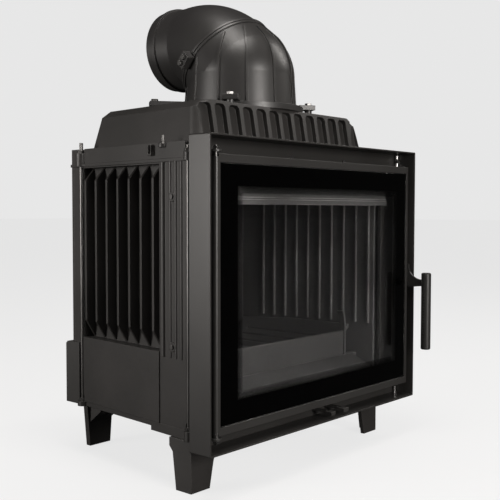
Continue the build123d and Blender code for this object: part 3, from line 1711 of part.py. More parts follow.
# Door frame: flush glass pocket in front, stiff rim behind, hinge tube on the left
pocket_left = door_left + left_strip
pocket_right = door_right - right_strip
pocket_low = door_low + bottom_strip
pocket_top = door_high - top_strip
pocket_back = door_face + glass_setback + glass_thickness + glass_seal
ledge_back = pocket_back + door_ledge
window_left = pocket_left + glass_bearing
window_right = pocket_right - glass_bearing
window_low = pocket_low + glass_bearing
window_high = pocket_top - glass_bearing
gasket_left = door_left + gasket_inset
gasket_right = door_right - gasket_inset
gasket_low = door_low + gasket_inset
gasket_high = door_high - gasket_inset
with BuildPart() as door_frame:
    block(door_left, door_right, door_face, door_back, door_low, door_high)
    post(hinge_x, hinge_depth, tube_low, tube_high, hinge_radius)
    block(pocket_left, pocket_right, door_face, pocket_back, pocket_low, pocket_top, Mode.SUBTRACT)
    block(window_left, window_right, door_face, door_back, window_low, window_high, Mode.SUBTRACT)
    block(
        door_left + door_side,
        door_right - door_side,
        ledge_back,
        door_back,
        door_low + door_side,
        door_high - door_side,
        Mode.SUBTRACT,
    )
    with BuildSketch(Plane.XZ.offset(-back(door_back))) as groove:
        with Locations(((gasket_left + gasket_right) / 2, level((gasket_low + gasket_high) / 2))):
            Rectangle(gasket_right - gasket_left, gasket_high - gasket_low)
            Rectangle(
                gasket_right - gasket_left - 2 * gasket_width,
                gasket_high - gasket_low - 2 * gasket_width,
                mode=Mode.SUBTRACT,
            )
    extrude(amount=gasket_sink, mode=Mode.SUBTRACT)
    post(hinge_x, hinge_depth, door_low, door_high, hinge_pin_radius + hinge_clearance, Mode.SUBTRACT)
    for notch_low, notch_high in ((door_low, tube_low), (tube_high, door_high)):
        post(hinge_x, hinge_depth, notch_low, notch_high, hinge_radius + hinge_notch, Mode.SUBTRACT)
    with BuildSketch(Plane.YZ.offset(door_right)):
        with Locations((back(pivot_depth), level(pivot_height))):
            Circle(pivot_radius)
    extrude(amount=-pivot_seat, mode=Mode.SUBTRACT)
door_frame.part.label = "door_frame"
export_step(door_frame.part, "parts/door_frame.step")

with BuildPart() as door_glass:
    block(
        pocket_left + glass_clearance,
        pocket_right - glass_clearance,
        door_face + glass_setback,
        door_face + glass_setback + glass_thickness,
        pocket_low + glass_clearance,
        pocket_top - glass_clearance,
    )
door_glass.part.label = "door_glass"
export_step(door_glass.part, "parts/door_glass.step")

with BuildPart() as glass_gasket:
    block(
        pocket_left + glass_clearance,
        pocket_right - glass_clearance,
        pocket_back - glass_seal,
        pocket_back,
        pocket_low + glass_clearance,
        pocket_top - glass_clearance,
    )
    block(window_left, window_right, door_face, door_back, window_low, window_high, Mode.SUBTRACT)
glass_gasket.part.label = "glass_gasket"
export_step(glass_gasket.part, "parts/glass_gasket.step")

# Clips behind the ledge whose fingers hold the glass, each with its screw head
glass_back = pocket_back - glass_seal
clip_places = [
    (x, height, 0, side)
    for height, side in ((window_high, 1), (window_low, -1))
    for x in (-clip_spread, 0, clip_spread)
]
clip_places += [
    (x, (window_low + window_high) / 2, side, 0) for x, side in ((window_left, -1), (window_right, 1))
]
with BuildPart() as glass_clips:
    for x, height, side_x, side_z in clip_places:
        for inward, outward, d_low in (
            (-clip_reach, clip_seat, ledge_back),
            (-clip_reach, clip_thickness - clip_reach, glass_back),
        ):
            spans_x = sorted((x + side_x * inward, x + side_x * outward))
            spans_z = sorted((height + side_z * inward, height + side_z * outward))
            if side_x == 0:
                spans_x = [x - clip_width / 2, x + clip_width / 2]
            else:
                spans_z = [height - clip_width / 2, height + clip_width / 2]
            block(spans_x[0], spans_x[1], d_low, ledge_back + clip_thickness, spans_z[0], spans_z[1])
        screw_place = (x + side_x * clip_seat / 2, level(height + side_z * clip_seat / 2))
        with BuildSketch(Plane.XZ.offset(-back(ledge_back + clip_thickness))):
            with Locations(screw_place):
                Circle(clip_screw_radius)
        extrude(amount=-clip_screw_head)
glass_clips.part.label = "glass_clips"
export_step(glass_clips.part, "parts/glass_clips.step")

# Deflector behind the glass: a sheet hung from the door's top rim, with a thick lower edge
with BuildPart() as glass_deflector:
    deflector_back = deflector_front + 3 * deflector_sheet
    sheet_low = deflector_low + deflector_bar
    block(
        -deflector_half_width,
        deflector_half_width,
        deflector_front,
        deflector_back,
        deflector_low,
        sheet_low,
    )
    block(
        -deflector_half_width,
        deflector_half_width,
        deflector_front + deflector_sheet,
        deflector_back,
        sheet_low,
        sheet_low + deflector_step,
    )
    block(
        -deflector_half_width,
        deflector_half_width,
        deflector_back - deflector_sheet,
        deflector_back,
        sheet_low,
        door_high - door_side,
    )
glass_deflector.part.label = "glass_deflector"
export_step(glass_deflector.part, "parts/glass_deflector.step")

# Rope gasket that seals the door on the front plate
with BuildPart() as door_gasket:
    rope_back = surround_depth - gasket_gap
    block(gasket_left, gasket_right, door_back - gasket_sink, rope_back, gasket_low, gasket_high)
    fillet(door_gasket.edges().filter_by(Axis.Y), gasket_width)
    block(
        gasket_left + gasket_width,
        gasket_right - gasket_width,
        door_back - gasket_sink,
        surround_depth,
        gasket_low + gasket_width,
        gasket_high - gasket_width,
        Mode.SUBTRACT,
    )
door_gasket.part.label = "door_gasket"
export_step(door_gasket.part, "parts/door_gasket.step")

# Pin in the door's right edge that the handle lever turns on
lever_left = door_right + lever_gap
lever_right = lever_left + lever_thickness
lever_middle = (lever_left + lever_right) / 2
with BuildPart() as latch_pivot_pin:
    for x_low, x_high, pin_radius in (
        (door_right - pivot_seat, lever_right + lever_play, pivot_radius),
        (door_right, lever_left - lever_play, pivot_head_radius),
        (lever_right + lever_play, lever_right + lever_play + pivot_head, pivot_head_radius),
    ):
        with BuildSketch(Plane.YZ.offset(x_low)):
            with Locations((back(pivot_depth), level(pivot_height))):
                Circle(pin_radius)
        extrude(amount=x_high - x_low)
latch_pivot_pin.part.label = "latch_pivot_pin"
export_step(latch_pivot_pin.part, "parts/latch_pivot_pin.step")

# Handle: flat lever with a flared root and a hooked tail, and the perforated round grip
lever_arm_top = lever_arm_low + lever_arm_height
with BuildPart() as handle_lever:
    with BuildSketch(Plane.YZ.offset(lever_left)) as lever_side:
        with BuildLine():
            Polyline(
                (back(lever_curve_start), level(lever_arm_top)),
                (back(grip_depth), level(lever_arm_top)),
                (back(grip_depth), level(lever_arm_low)),
                (back(lever_curve_start), level(lever_arm_low)),
                (back(lever_root_front), level(lever_root_low)),
                (back(lever_heel), level(tail_low - 2 * lever_gap)),
                (back(tail_start), level(tail_low)),
                (back(tail_end), level(tail_low)),
                (back(tail_end), level(tooth_top)),
                (back(tooth_front), level(tooth_top)),
                (back(tooth_front), level(tail_top)),
                (back(tail_start), level(tail_top)),
                (back(lever_root_back), level(lever_root_high)),
                (back(lever_root_front), level(lever_root_high)),
            )
            TangentArc(
                (back(lever_curve_start), level(lever_arm_top)),
                (back(lever_root_front), level(lever_root_high)),
                tangent=(1, 0),
            )
        make_face()
        with Locations((back(pivot_depth), level(pivot_height))):
            Circle(pivot_radius + pivot_clearance, mode=Mode.SUBTRACT)
    extrude(amount=lever_thickness)
    post(lever_middle, grip_depth, lever_arm_low, lever_arm_top, grip_core_radius, Mode.SUBTRACT)
    block(
        lever_left,
        lever_right,
        grip_depth - grip_radius,
        grip_depth,
        lever_arm_low,
        lever_arm_top,
        Mode.SUBTRACT,
    )
handle_lever.part.label = "handle_lever"
export_step(handle_lever.part, "parts/handle_lever.step")

grip_high = grip_low + grip_length
with BuildPart() as handle_core:
    for cap_low in (grip_low, grip_high - grip_cap):
        post(lever_middle, grip_depth, cap_low, cap_low + grip_cap, grip_radius)
    outer_rims = handle_core.edges().filter_by(GeomType.CIRCLE).sort_by(Axis.Z)
    fillet([outer_rims[0], outer_rims[-1]], grip_cap / 2)
    post(lever_middle, grip_depth, grip_low, grip_high, grip_core_radius)
handle_core.part.label = "handle_core"
export_step(handle_core.part, "parts/handle_core.step")

with BuildPart() as handle_grip:
    post(lever_middle, grip_depth, grip_low + grip_cap, grip_high - grip_cap, grip_radius)
    post(lever_middle, grip_depth, grip_low, grip_high, grip_radius - grip_wall, Mode.SUBTRACT)
    block(
        lever_left - lever_play,
        lever_right + lever_play,
        grip_depth,
        grip_depth + 2 * grip_radius,
        lever_arm_low - 2 * lever_play,
        lever_arm_top + 2 * lever_play,
        Mode.SUBTRACT,
    )
    column_turns = (grip_hole_turn, grip_hole_turn + 45, grip_hole_turn + 90, grip_hole_turn + 135)
    drills = [
        Location(
            (lever_middle, back(grip_depth), level(grip_hole_first + row * grip_hole_pitch)), (0, 90, turn)
        )
        for row in range(grip_hole_rows)
        for turn in column_turns
    ]
    with Locations(*drills):
        Cylinder(grip_hole_radius, 3 * grip_radius, mode=Mode.SUBTRACT)
handle_grip.part.label = "handle_grip"
export_step(handle_grip.part, "parts/handle_grip.step")
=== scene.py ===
# %% [markdown]
# # A cast iron fireplace insert
# The real insert is a box of black painted castings. It stands on four legs, and a thin steel
# surround frames its glazed door. A ribbed flue dome and a turning elbow sit on its hood.
# The measured solids of all of that exist already, so this lesson gives them their surfaces,
# and makes again, in finer mesh, the pieces whose shape a plain solid can't carry.

# %% Load the measured solids
import json
from math import ceil, cos, hypot, pi, radians, sin

import bpy
from mathutils import Matrix, Vector


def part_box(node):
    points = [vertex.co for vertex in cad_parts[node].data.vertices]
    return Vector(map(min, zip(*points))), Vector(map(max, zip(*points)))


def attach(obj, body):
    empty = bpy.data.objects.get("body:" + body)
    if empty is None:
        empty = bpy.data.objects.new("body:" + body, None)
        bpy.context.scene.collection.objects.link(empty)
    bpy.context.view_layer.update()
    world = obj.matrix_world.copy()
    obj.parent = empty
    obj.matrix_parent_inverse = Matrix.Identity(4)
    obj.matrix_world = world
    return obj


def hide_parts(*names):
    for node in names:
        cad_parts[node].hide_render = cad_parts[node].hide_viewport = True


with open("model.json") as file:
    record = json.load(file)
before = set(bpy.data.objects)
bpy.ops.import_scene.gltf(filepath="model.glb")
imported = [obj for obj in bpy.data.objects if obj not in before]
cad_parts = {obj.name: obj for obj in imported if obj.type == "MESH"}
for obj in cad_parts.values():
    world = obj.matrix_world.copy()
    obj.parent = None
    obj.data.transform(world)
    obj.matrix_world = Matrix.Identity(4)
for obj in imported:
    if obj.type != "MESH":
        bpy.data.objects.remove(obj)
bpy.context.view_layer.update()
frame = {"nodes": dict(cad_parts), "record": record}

solids = frame["nodes"]

# %% [markdown]
# ## The camera
# The photograph was taken from the left, a little above the middle of the glass. A long lens
# keeps the uprights upright. Heading and tilt are given as angles, as a photographer says them.

# %% Place the camera
camera_place = (-1.3878, -1.2269, 0.5194)
camera_heading = 41.188
camera_tilt = 2.710
camera_roll = -0.081
lens_mm = 61.27
sensor_mm = 36.0

lens = bpy.data.cameras.new("view")
lens.lens = lens_mm
lens.sensor_width = sensor_mm
camera = bpy.data.objects.new("view", lens)
camera.location = camera_place
camera.rotation_euler = (
    radians(90 - camera_tilt), radians(camera_roll), radians(camera_heading - 90)
)
bpy.context.scene.collection.objects.link(camera)
bpy.context.scene.camera = camera
print("camera at", camera_place, "heading", camera_heading, "degrees")

# %% [markdown]
# ## Floor and background
# The floor and the background are plain and pale, and aren't part of the object. Black paint
# mirrors whatever stands round it, so a white room would turn the insert grey. The way out is
# the Light Path node: the camera sees the pale room, and everything else sees a dark one.

# %% Make the floor and the room
floor_mesh = bpy.data.meshes.new("floor")
floor_reach = 40.0
floor_mesh.from_pydata(
    [(x, y, 0.0) for x, y in ((-1, -1), (1, -1), (1, 1), (-1, 1))], [], [(0, 1, 2, 3)]
)
floor_mesh.transform(Matrix.Scale(floor_reach, 4))
floor = bpy.data.objects.new("floor", floor_mesh)
bpy.context.scene.collection.objects.link(floor)
floor.visible_glossy = False

pale = (0.80, 0.80, 0.80, 1)
floor_gray = (0.12, 0.12, 0.12, 1)
glow_strength = 0.93
warm_white = (1.0, 0.98, 0.96, 1)
mirrored_fill, diffuse_fill = 0.02, 0.30
floor_paint = bpy.data.materials.new("floor_paint")
floor_paint.use_nodes = True
floor_tree = floor_paint.node_tree
floor_shader = floor_tree.nodes["Principled BSDF"]
floor_shader.inputs["Base Color"].default_value = floor_gray
floor_shader.inputs["Roughness"].default_value = 0.9
floor_glow = floor_tree.nodes.new("ShaderNodeEmission")
floor_glow.inputs["Color"].default_value = pale
floor_glow.inputs["Strength"].default_value = glow_strength
seen = floor_tree.nodes.new("ShaderNodeLightPath")
both = floor_tree.nodes.new("ShaderNodeAddShader")
floor_look = floor_tree.nodes.new("ShaderNodeMixShader")
floor_tree.links.new(floor_shader.outputs[0], both.inputs[0])
floor_tree.links.new(floor_glow.outputs[0], both.inputs[1])
floor_tree.links.new(seen.outputs["Is Camera Ray"], floor_look.inputs[0])
floor_tree.links.new(floor_shader.outputs[0], floor_look.inputs[1])
floor_tree.links.new(both.outputs[0], floor_look.inputs[2])
floor_tree.links.new(floor_look.outputs[0], floor_tree.nodes["Material Output"].inputs["Surface"])
floor_mesh.materials.append(floor_paint)

room = bpy.data.worlds.new("room")
room.use_nodes = True
room_tree = room.node_tree
backdrop = room_tree.nodes["Background"]
backdrop.inputs["Color"].default_value = pale
backdrop.inputs["Strength"].default_value = 1.0
ray = room_tree.nodes.new("ShaderNodeLightPath")
last_mix = room_tree.nodes.new("ShaderNodeMixShader")
soft_mix = room_tree.nodes.new("ShaderNodeMixShader")
fills = []
for strength in (mirrored_fill, diffuse_fill):
    fill = room_tree.nodes.new("ShaderNodeBackground")
    fill.inputs["Color"].default_value = warm_white
    fill.inputs["Strength"].default_value = strength
    fills.append(fill)
room_tree.links.new(ray.outputs["Is Diffuse Ray"], soft_mix.inputs[0])
room_tree.links.new(fills[0].outputs[0], soft_mix.inputs[1])
room_tree.links.new(fills[1].outputs[0], soft_mix.inputs[2])
room_tree.links.new(ray.outputs["Is Camera Ray"], last_mix.inputs[0])
room_tree.links.new(soft_mix.outputs[0], last_mix.inputs[1])
room_tree.links.new(backdrop.outputs[0], last_mix.inputs[2])
room_tree.links.new(last_mix.outputs[0], room_tree.nodes["World Output"].inputs["Surface"])
bpy.context.scene.world = room
bpy.context.scene.view_settings.view_transform = "Standard"
print("room ready, floor reach:", floor_reach)

# %% [markdown]
# ## Light panels
# Soft panels stand round the insert. Their reflections draw the bright lines on the dome,
# the rods and the rounded corners. The glass mirrors what stands to the right of the camera, so
# no panel stands there, and the window stays clear.

# %% Hang the light panels
lamp_color = (1.0, 0.96, 0.92)


def panel(name, place, aim, width, height, watts):
    """A soft rectangular light that faces a point."""
    light = bpy.data.lights.new(name, "AREA")
    light.color = lamp_color
    light.shape = "RECTANGLE"
    light.size = width
    light.size_y = height
    light.energy = watts
    lamp = bpy.data.objects.new(name, light)
    lamp.location = place
    lamp.rotation_euler = (Vector(place) - Vector(aim)).to_track_quat("Z", "Y").to_euler()
    bpy.context.scene.collection.objects.link(lamp)
    return lamp


middle = (0, 0, 0.5)
panel("front_panel", (-0.5, -3.0, 0.9), middle, 0.8, 1.2, 75)
panel("left_panel", (-3.0, 1.3, 0.75), middle, 1.2, 1.2, 62)
panel("top_panel", (-0.6, -0.4, 3.0), middle, 1.2, 1.2, 45)
panel("right_panel", (2.6, -1.2, 2.6), (0, 0, 0.9), 0.4, 1.6, 30)

# %% [markdown]
# ## Tools for shader groups
# An effect that several finishes share is built once, as a node group with named sockets. Each
# finish then places the group with its own numbers. A group only gives out masks and normals
# that change over the surface. The shader itself stays in the finish.

# %% Helpers for groups and links


def start_group(name, inputs, outputs):
    """A new shader group with its named sockets. Inputs are (name, kind, default)."""
    group = bpy.data.node_groups.new(name, "ShaderNodeTree")
    for label, kind, default in inputs:
        socket = group.interface.new_socket(label, in_out="INPUT", socket_type=kind)
        if default is not None:
            socket.default_value = default
    for label, kind in outputs:
        group.interface.new_socket(label, in_out="OUTPUT", socket_type=kind)
    return group, group.nodes.new("NodeGroupInput"), group.nodes.new("NodeGroupOutput")


def node(tree, kind, settings=None, **values):
    """Adds a node; settings are its properties, values are its input sockets by name."""
    made = tree.nodes.new(kind)
    for key, value in (settings or {}).items():
        setattr(made, key, value)
    for key, value in values.items():
        made.inputs[key.replace("_", " ")].default_value = value
    return made


def math_node(tree, operation, first, second=None, clamp=False):
    """A Math node. An argument may be a number or an output socket."""
    made = tree.nodes.new("ShaderNodeMath")
    made.operation = operation
    made.use_clamp = clamp
    for place, value in enumerate((first, second)):
        if value is None:
            continue
        if isinstance(value, (int, float)):
            made.inputs[place].default_value = value
        else:
            tree.links.new(value, made.inputs[place])
    return made.outputs[0]


def ramp(tree, value, low, high, to_low=0.0, to_high=1.0, smooth=True):
    """Maps a changing value from one span to another."""
    made = tree.nodes.new("ShaderNodeMapRange")
    made.interpolation_type = "SMOOTHSTEP" if smooth else "LINEAR"
    for label, number in (
        ("From Min", low), ("From Max", high), ("To Min", to_low), ("To Max", to_high)
    ):
        if isinstance(number, (int, float)):
            made.inputs[label].default_value = number
        else:
            tree.links.new(number, made.inputs[label])
    tree.links.new(value, made.inputs["Value"])
    return made.outputs["Result"]


print("helpers ready")

# %% [markdown]
# ## Cast skin
# Iron poured in sand keeps a faint orange-peel skin under its paint, with slow tone changes
# over a hand's width. Two sizes of noise make it: fine grains for the bump and the sheen,
# broad clouds for the tone. Corners of the solids are sharp, so the group also rounds the
# light over each edge. It hands out an edge mask, broken up by the clouds, that the finishes paint
# lighter: partly paint rubbed thin, partly a painted highlight along each edge.

# %% Build the cast skin group
cast_skin, skin_in, skin_out = start_group(
    "cast_skin",
    [
        ("Grain Size", "NodeSocketFloat", 0.002),
        ("Grain Depth", "NodeSocketFloat", 0.0001),
        ("Cloud Size", "NodeSocketFloat", 0.15),
        ("Edge Radius", "NodeSocketFloat", 0.001),
    ],
    [
        ("Tone", "NodeSocketFloat"),
        ("Sheen", "NodeSocketFloat"),
        ("Wear And Highlight", "NodeSocketFloat"),
        ("Normal", "NodeSocketVector"),
    ],
)
object_place = node(cast_skin, "ShaderNodeTexCoord").outputs["Object"]


def sized_noise(size, detail, roughness):
    """Noise over the object whose lumps have a real size."""
    made = node(cast_skin, "ShaderNodeTexNoise", Detail=detail, Roughness=roughness)
    cast_skin.links.new(object_place, made.inputs["Vector"])
    cast_skin.links.new(math_node(cast_skin, "DIVIDE", 1.0, size), made.inputs["Scale"])
    return made.outputs["Fac"]


grains = sized_noise(skin_in.outputs["Grain Size"], detail=3.0, roughness=0.6)
clouds = sized_noise(skin_in.outputs["Cloud Size"], detail=4.0, roughness=0.5)
cast_skin.links.new(ramp(cast_skin, clouds, 0.3, 0.7), skin_out.inputs["Tone"])
cast_skin.links.new(ramp(cast_skin, grains, 0.25, 0.75), skin_out.inputs["Sheen"])
rounding = node(cast_skin, "ShaderNodeBevel", {"samples": 6})
cast_skin.links.new(skin_in.outputs["Edge Radius"], rounding.inputs["Radius"])
flat = node(cast_skin, "ShaderNodeNewGeometry").outputs["Normal"]
turned = node(cast_skin, "ShaderNodeVectorMath", {"operation": "DOT_PRODUCT"})
cast_skin.links.new(rounding.outputs["Normal"], turned.inputs[0])
cast_skin.links.new(flat, turned.inputs[1])
# The bevelled normal parts from the flat one at edges. Times the clouds, this is the mask that the
# finishes paint lighter, as wear and as a painted highlight.
edge = ramp(cast_skin, turned.outputs["Value"], 0.995, 0.80)
wear_and_highlight_mask = math_node(cast_skin, "MULTIPLY", edge, ramp(cast_skin, clouds, 0.35, 0.6))
cast_skin.links.new(wear_and_highlight_mask, skin_out.inputs["Wear And Highlight"])
bump = node(cast_skin, "ShaderNodeBump", Strength=1.0)
cast_skin.links.new(skin_in.outputs["Grain Depth"], bump.inputs["Distance"])
cast_skin.links.new(grains, bump.inputs["Height"])
cast_skin.links.new(rounding.outputs["Normal"], bump.inputs["Normal"])
cast_skin.links.new(bump.outputs["Normal"], skin_out.inputs["Normal"])
print("cast_skin sockets:", [s.name for s in cast_skin.interface.items_tree])

# %% [markdown]
# ## Painted finishes
# Each painted finish is dark with a little warmth. The clouds move it between two near tones,
# worn edges show greyer metal and carry a painted highlight, and the grains break up the sheen.

# %% Build the painted and bare iron finishes


def mix_colors(tree, mask, first, second):
    """Mixes two colours by a changing mask. Either may be a colour or a socket."""
    made = tree.nodes.new("ShaderNodeMix")
    made.data_type = "RGBA"
    tree.links.new(mask, made.inputs["Factor"])
    for label, value in (("A", first), ("B", second)):
        socket = [s for s in made.inputs if s.name == label and s.type == "RGBA"][0]
        if isinstance(value, tuple):
            socket.default_value = (*value, 1)
        else:
            tree.links.new(value, socket)
    return [s for s in made.outputs if s.type == "RGBA"][0]


def iron_finish(name, dark, light, worn_and_highlight, gloss, grain, depth, edge_radius, metal=0.0):
    """A cast or painted finish: two tones, an edge colour for wear and painted highlight, a
    roughness span and its skin.
    """
    finish = bpy.data.materials.new(name)
    finish.use_nodes = True
    tree = finish.node_tree
    shader = tree.nodes["Principled BSDF"]
    skin = node(tree, "ShaderNodeGroup", {"node_tree": cast_skin})
    skin.inputs["Grain Size"].default_value = grain
    skin.inputs["Grain Depth"].default_value = depth
    skin.inputs["Edge Radius"].default_value = edge_radius
    tones = mix_colors(tree, skin.outputs["Tone"], dark, light)
    # The lighter edge colour goes on through the edge mask, as wear and as a painted highlight.
    tree.links.new(mix_colors(tree, skin.outputs["Wear And Highlight"], tones, worn_and_highlight), shader.inputs["Base Color"])
    tree.links.new(ramp(tree, skin.outputs["Sheen"], 0, 1, *gloss), shader.inputs["Roughness"])
    tree.links.new(skin.outputs["Normal"], shader.inputs["Normal"])
    shader.inputs["Metallic"].default_value = metal
    return finish


finishes = {
    "cast": iron_finish(
        "cast_paint", (0.016, 0.015, 0.014), (0.024, 0.022, 0.021), (0.060, 0.057, 0.054),
        gloss=(0.40, 0.54), grain=0.0022, depth=0.00012, edge_radius=0.0016,
    ),
    "flue_cast": iron_finish(
        "flue_paint", (0.018, 0.017, 0.017), (0.026, 0.025, 0.024), (0.065, 0.063, 0.060),
        gloss=(0.34, 0.44), grain=0.0018, depth=0.00006, edge_radius=0.0012,
    ),
    # The hearth's edge colour is far lighter than its tones. It is mostly a painted highlight on
    # the rib edges, with some wear.
    "hearth_cast": iron_finish(
        "hearth_iron", (0.034, 0.033, 0.032), (0.052, 0.051, 0.050), (0.30, 0.295, 0.29),
        gloss=(0.44, 0.60), grain=0.0025, depth=0.00016, edge_radius=0.0018,
    ),
    "surround_paint": iron_finish(
        "surround_paint", (0.018, 0.017, 0.016), (0.023, 0.022, 0.021), (0.050, 0.048, 0.046),
        gloss=(0.36, 0.44), grain=0.0012, depth=0.00003, edge_radius=0.0010,
    ),
    "door_paint": iron_finish(
        "door_paint", (0.022, 0.021, 0.020), (0.028, 0.027, 0.026), (0.065, 0.063, 0.060),
        gloss=(0.34, 0.42), grain=0.0012, depth=0.00003, edge_radius=0.0010,
    ),
    "black_sheet": iron_finish(
        "sheet_paint", (0.020, 0.019, 0.018), (0.028, 0.027, 0.026), (0.065, 0.063, 0.060),
        gloss=(0.38, 0.48), grain=0.0012, depth=0.00003, edge_radius=0.0008,
    ),
    "handle_paint": iron_finish(
        "handle_paint", (0.016, 0.0155, 0.015), (0.022, 0.0215, 0.021), (0.060, 0.059, 0.058),
        gloss=(0.34, 0.42), grain=0.0010, depth=0.00003, edge_radius=0.0006,
    ),
    "dark_steel": iron_finish(
        "dark_steel", (0.10, 0.098, 0.095), (0.15, 0.147, 0.145), (0.24, 0.235, 0.23),
        gloss=(0.28, 0.40), grain=0.0010, depth=0.00003, edge_radius=0.0006, metal=0.9,
    ),
    "bright_steel": iron_finish(
        "bright_steel", (0.34, 0.335, 0.33), (0.46, 0.455, 0.45), (0.60, 0.595, 0.59),
        gloss=(0.22, 0.34), grain=0.0008, depth=0.00002, edge_radius=0.0005, metal=1.0,
    ),
}
print("finishes:", sorted(finishes))

# %% [markdown]
# ## Window glass
# The pane is clear. Cycles would let almost no lamp light through real glass, so shadow rays
# meet a plain see-through shader instead, and the firebox is lit.

# %% Build the glass
window_glass = bpy.data.materials.new("window_glass")
window_glass.use_nodes = True
glass_tree = window_glass.node_tree
glass_shader = glass_tree.nodes["Principled BSDF"]
glass_shader.inputs["Base Color"].default_value = (0.80, 0.81, 0.82, 1)
glass_shader.inputs["Roughness"].default_value = 0.02
glass_shader.inputs["IOR"].default_value = 1.47
glass_shader.inputs["Transmission Weight"].default_value = 1.0
see_through = node(glass_tree, "ShaderNodeBsdfTransparent", Color=(0.80, 0.80, 0.80, 1))
light_kind = node(glass_tree, "ShaderNodeLightPath")
glass_mix = node(glass_tree, "ShaderNodeMixShader")
glass_tree.links.new(light_kind.outputs["Is Shadow Ray"], glass_mix.inputs[0])
glass_tree.links.new(glass_shader.outputs[0], glass_mix.inputs[1])
glass_tree.links.new(see_through.outputs[0], glass_mix.inputs[2])
glass_tree.links.new(glass_mix.outputs[0], glass_tree.nodes["Material Output"].inputs["Surface"])
finishes["glass"] = window_glass
print("glass ready")

# %% [markdown]
# ## Printed border of the pane
# The real pane carries a black border, baked on its inner face, that hides the rope and the
# clips. Towards the window it breaks up into dots that get smaller, row by row, so the eye sees
# a soft edge. The dots are real small discs here. They lie a hair inside the glass, which keeps
# them off the tape behind it, and they ride on the door.

# %% Print the border and its dots
enamel = iron_finish(
    "border_enamel", (0.0001, 0.0001, 0.0001), (0.0002, 0.0002, 0.0002), (0.0002, 0.0002, 0.0002),
    gloss=(0.70, 0.85), grain=0.0010, depth=0.00002, edge_radius=0.0002,
)
enamel.node_tree.nodes["Principled BSDF"].inputs["Specular IOR Level"].default_value = 0.0
pane_low, pane_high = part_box("door_glass")
window = {"left": -0.243, "right": 0.267, "low": 0.189, "high": 0.549}
print_margin = 0.001
print_inside = 0.0004
dot_band = 0.013
dot_rows = 8
dot_sides = 6
widest_dot, dot_shrink = 0.54, 0.16
border_y = pane_high[1] - print_inside


def border_rectangle(shift):
    """Corners of the clear window, moved out by a shift."""
    return [
        (window["left"] - shift, window["low"] - shift),
        (window["right"] + shift, window["low"] - shift),
        (window["right"] + shift, window["high"] + shift),
        (window["left"] - shift, window["high"] + shift),
    ]


outer = [
    (pane_low[0] + print_margin, pane_low[2] + print_margin),
    (pane_high[0] - print_margin, pane_low[2] + print_margin),
    (pane_high[0] - print_margin, pane_high[2] - print_margin),
    (pane_low[0] + print_margin, pane_high[2] - print_margin),
]
print_points = [(x, border_y, z) for x, z in outer + border_rectangle(dot_band)]
print_faces = [(i, (i + 1) % 4, 4 + (i + 1) % 4, 4 + i) for i in range(4)]
row_step = dot_band / dot_rows
for row in range(dot_rows):
    shift = dot_band - (row + 0.5) * row_step
    dot_radius = row_step * (widest_dot - dot_shrink * row / dot_rows)
    corners = border_rectangle(shift)
    for (x1, z1), (x2, z2) in zip(corners, corners[1:] + corners[:1]):
        count = max(1, round(hypot(x2 - x1, z2 - z1) / row_step))
        for step in range(count):
            part = (step + 0.5 * (row % 2)) / count
            x, z = x1 + (x2 - x1) * part, z1 + (z2 - z1) * part
            first = len(print_points)
            for turn in range(dot_sides):
                angle = 2 * pi * turn / dot_sides
                print_points.append(
                    (x + dot_radius * cos(angle), border_y, z + dot_radius * sin(angle))
                )
            print_faces.append(tuple(range(first, first + dot_sides)))
border_mesh = bpy.data.meshes.new("glass_border")
border_mesh.from_pydata(print_points, [], print_faces)
border_mesh.materials.append(enamel)
glass_border = bpy.data.objects.new("glass_border", border_mesh)
bpy.context.scene.collection.objects.link(glass_border)
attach(glass_border, "door")
print("border:", len(print_faces) - 4, "dots in", dot_rows, "rows")

# %% [markdown]
# ## Dress the solids
# Every solid names the finish that it has on the real insert. The record lists those names, so
# one loop gives each solid its finish. Two finishes differ here. The solids of the ropes are
# replaced further down, so any finish will do for them until then. The deflector behind the pane
# is a bright bar in the photograph, so it takes the hearth's lighter finish.

# %% Give each solid its finish
finish_of = {part["node"]: part["material_slot"] for part in frame["record"]["subparts"]}
finishes["rope"] = finishes["black_sheet"]
finish_of["glass_deflector"] = "hearth_cast"
for name, solid in solids.items():
    solid.data.materials.clear()
    solid.data.materials.append(finishes[finish_of[name]])
print("dressed:", len(solids))

# %% [markdown]
# ## Ropes and tape
# Three soft pieces seal the insert: a braided rope behind the door, a flat woven tape behind the
# pane, and a rope in the slanted flue joint. A plain ring can't show the braid, so each is swept
# again here. A section with bulging strands is turned a little at each step along the path, and
# the strands wind round the rope as on the real one.

# %% Sweep a braided rope along a closed path
points_per_strand = 8
strand_rise = 0.10
corner_steps = 8


def braided_loop(name, path, across, width, thickness, strands, lay, square=1.0):
    """Closed rope on a path. Across is the direction that the thickness is measured in."""
    across = Vector(across).normalized()
    sides = points_per_strand * strands
    points, faces = [], []
    travelled = 0.0
    count = len(path)
    length = sum((path[(i + 1) % count] - path[i]).length for i in range(count))
    turns = max(1, round(length / lay))
    for index, place in enumerate(path):
        along = (path[(index + 1) % count] - path[index - 1]).normalized()
        side = along.cross(across).normalized()
        twist = 2 * pi * turns * travelled / length
        for step in range(sides):
            angle = 2 * pi * step / sides
            bulge = 1 - strand_rise + strand_rise * abs(cos(0.5 * strands * (angle - twist)))
            flat_x = abs(cos(angle)) ** square * (1 if cos(angle) > 0 else -1)
            flat_y = abs(sin(angle)) ** square * (1 if sin(angle) > 0 else -1)
            sideways = side * (width / 2 * bulge * flat_x)
            points.append(place + sideways + across * (thickness / 2 * bulge * flat_y))
            faces.append(
                (
                    index * sides + step,
                    index * sides + (step + 1) % sides,
                    (index + 1) % count * sides + (step + 1) % sides,
                    (index + 1) % count * sides + step,
                )
            )
        travelled += (path[(index + 1) % count] - place).length
    rope_mesh = bpy.data.meshes.new(name)
    rope_mesh.from_pydata(points, [], faces)
    for face in rope_mesh.polygons:
        face.use_smooth = True
    rope = bpy.data.objects.new(name, rope_mesh)
    bpy.context.scene.collection.objects.link(rope)
    return rope


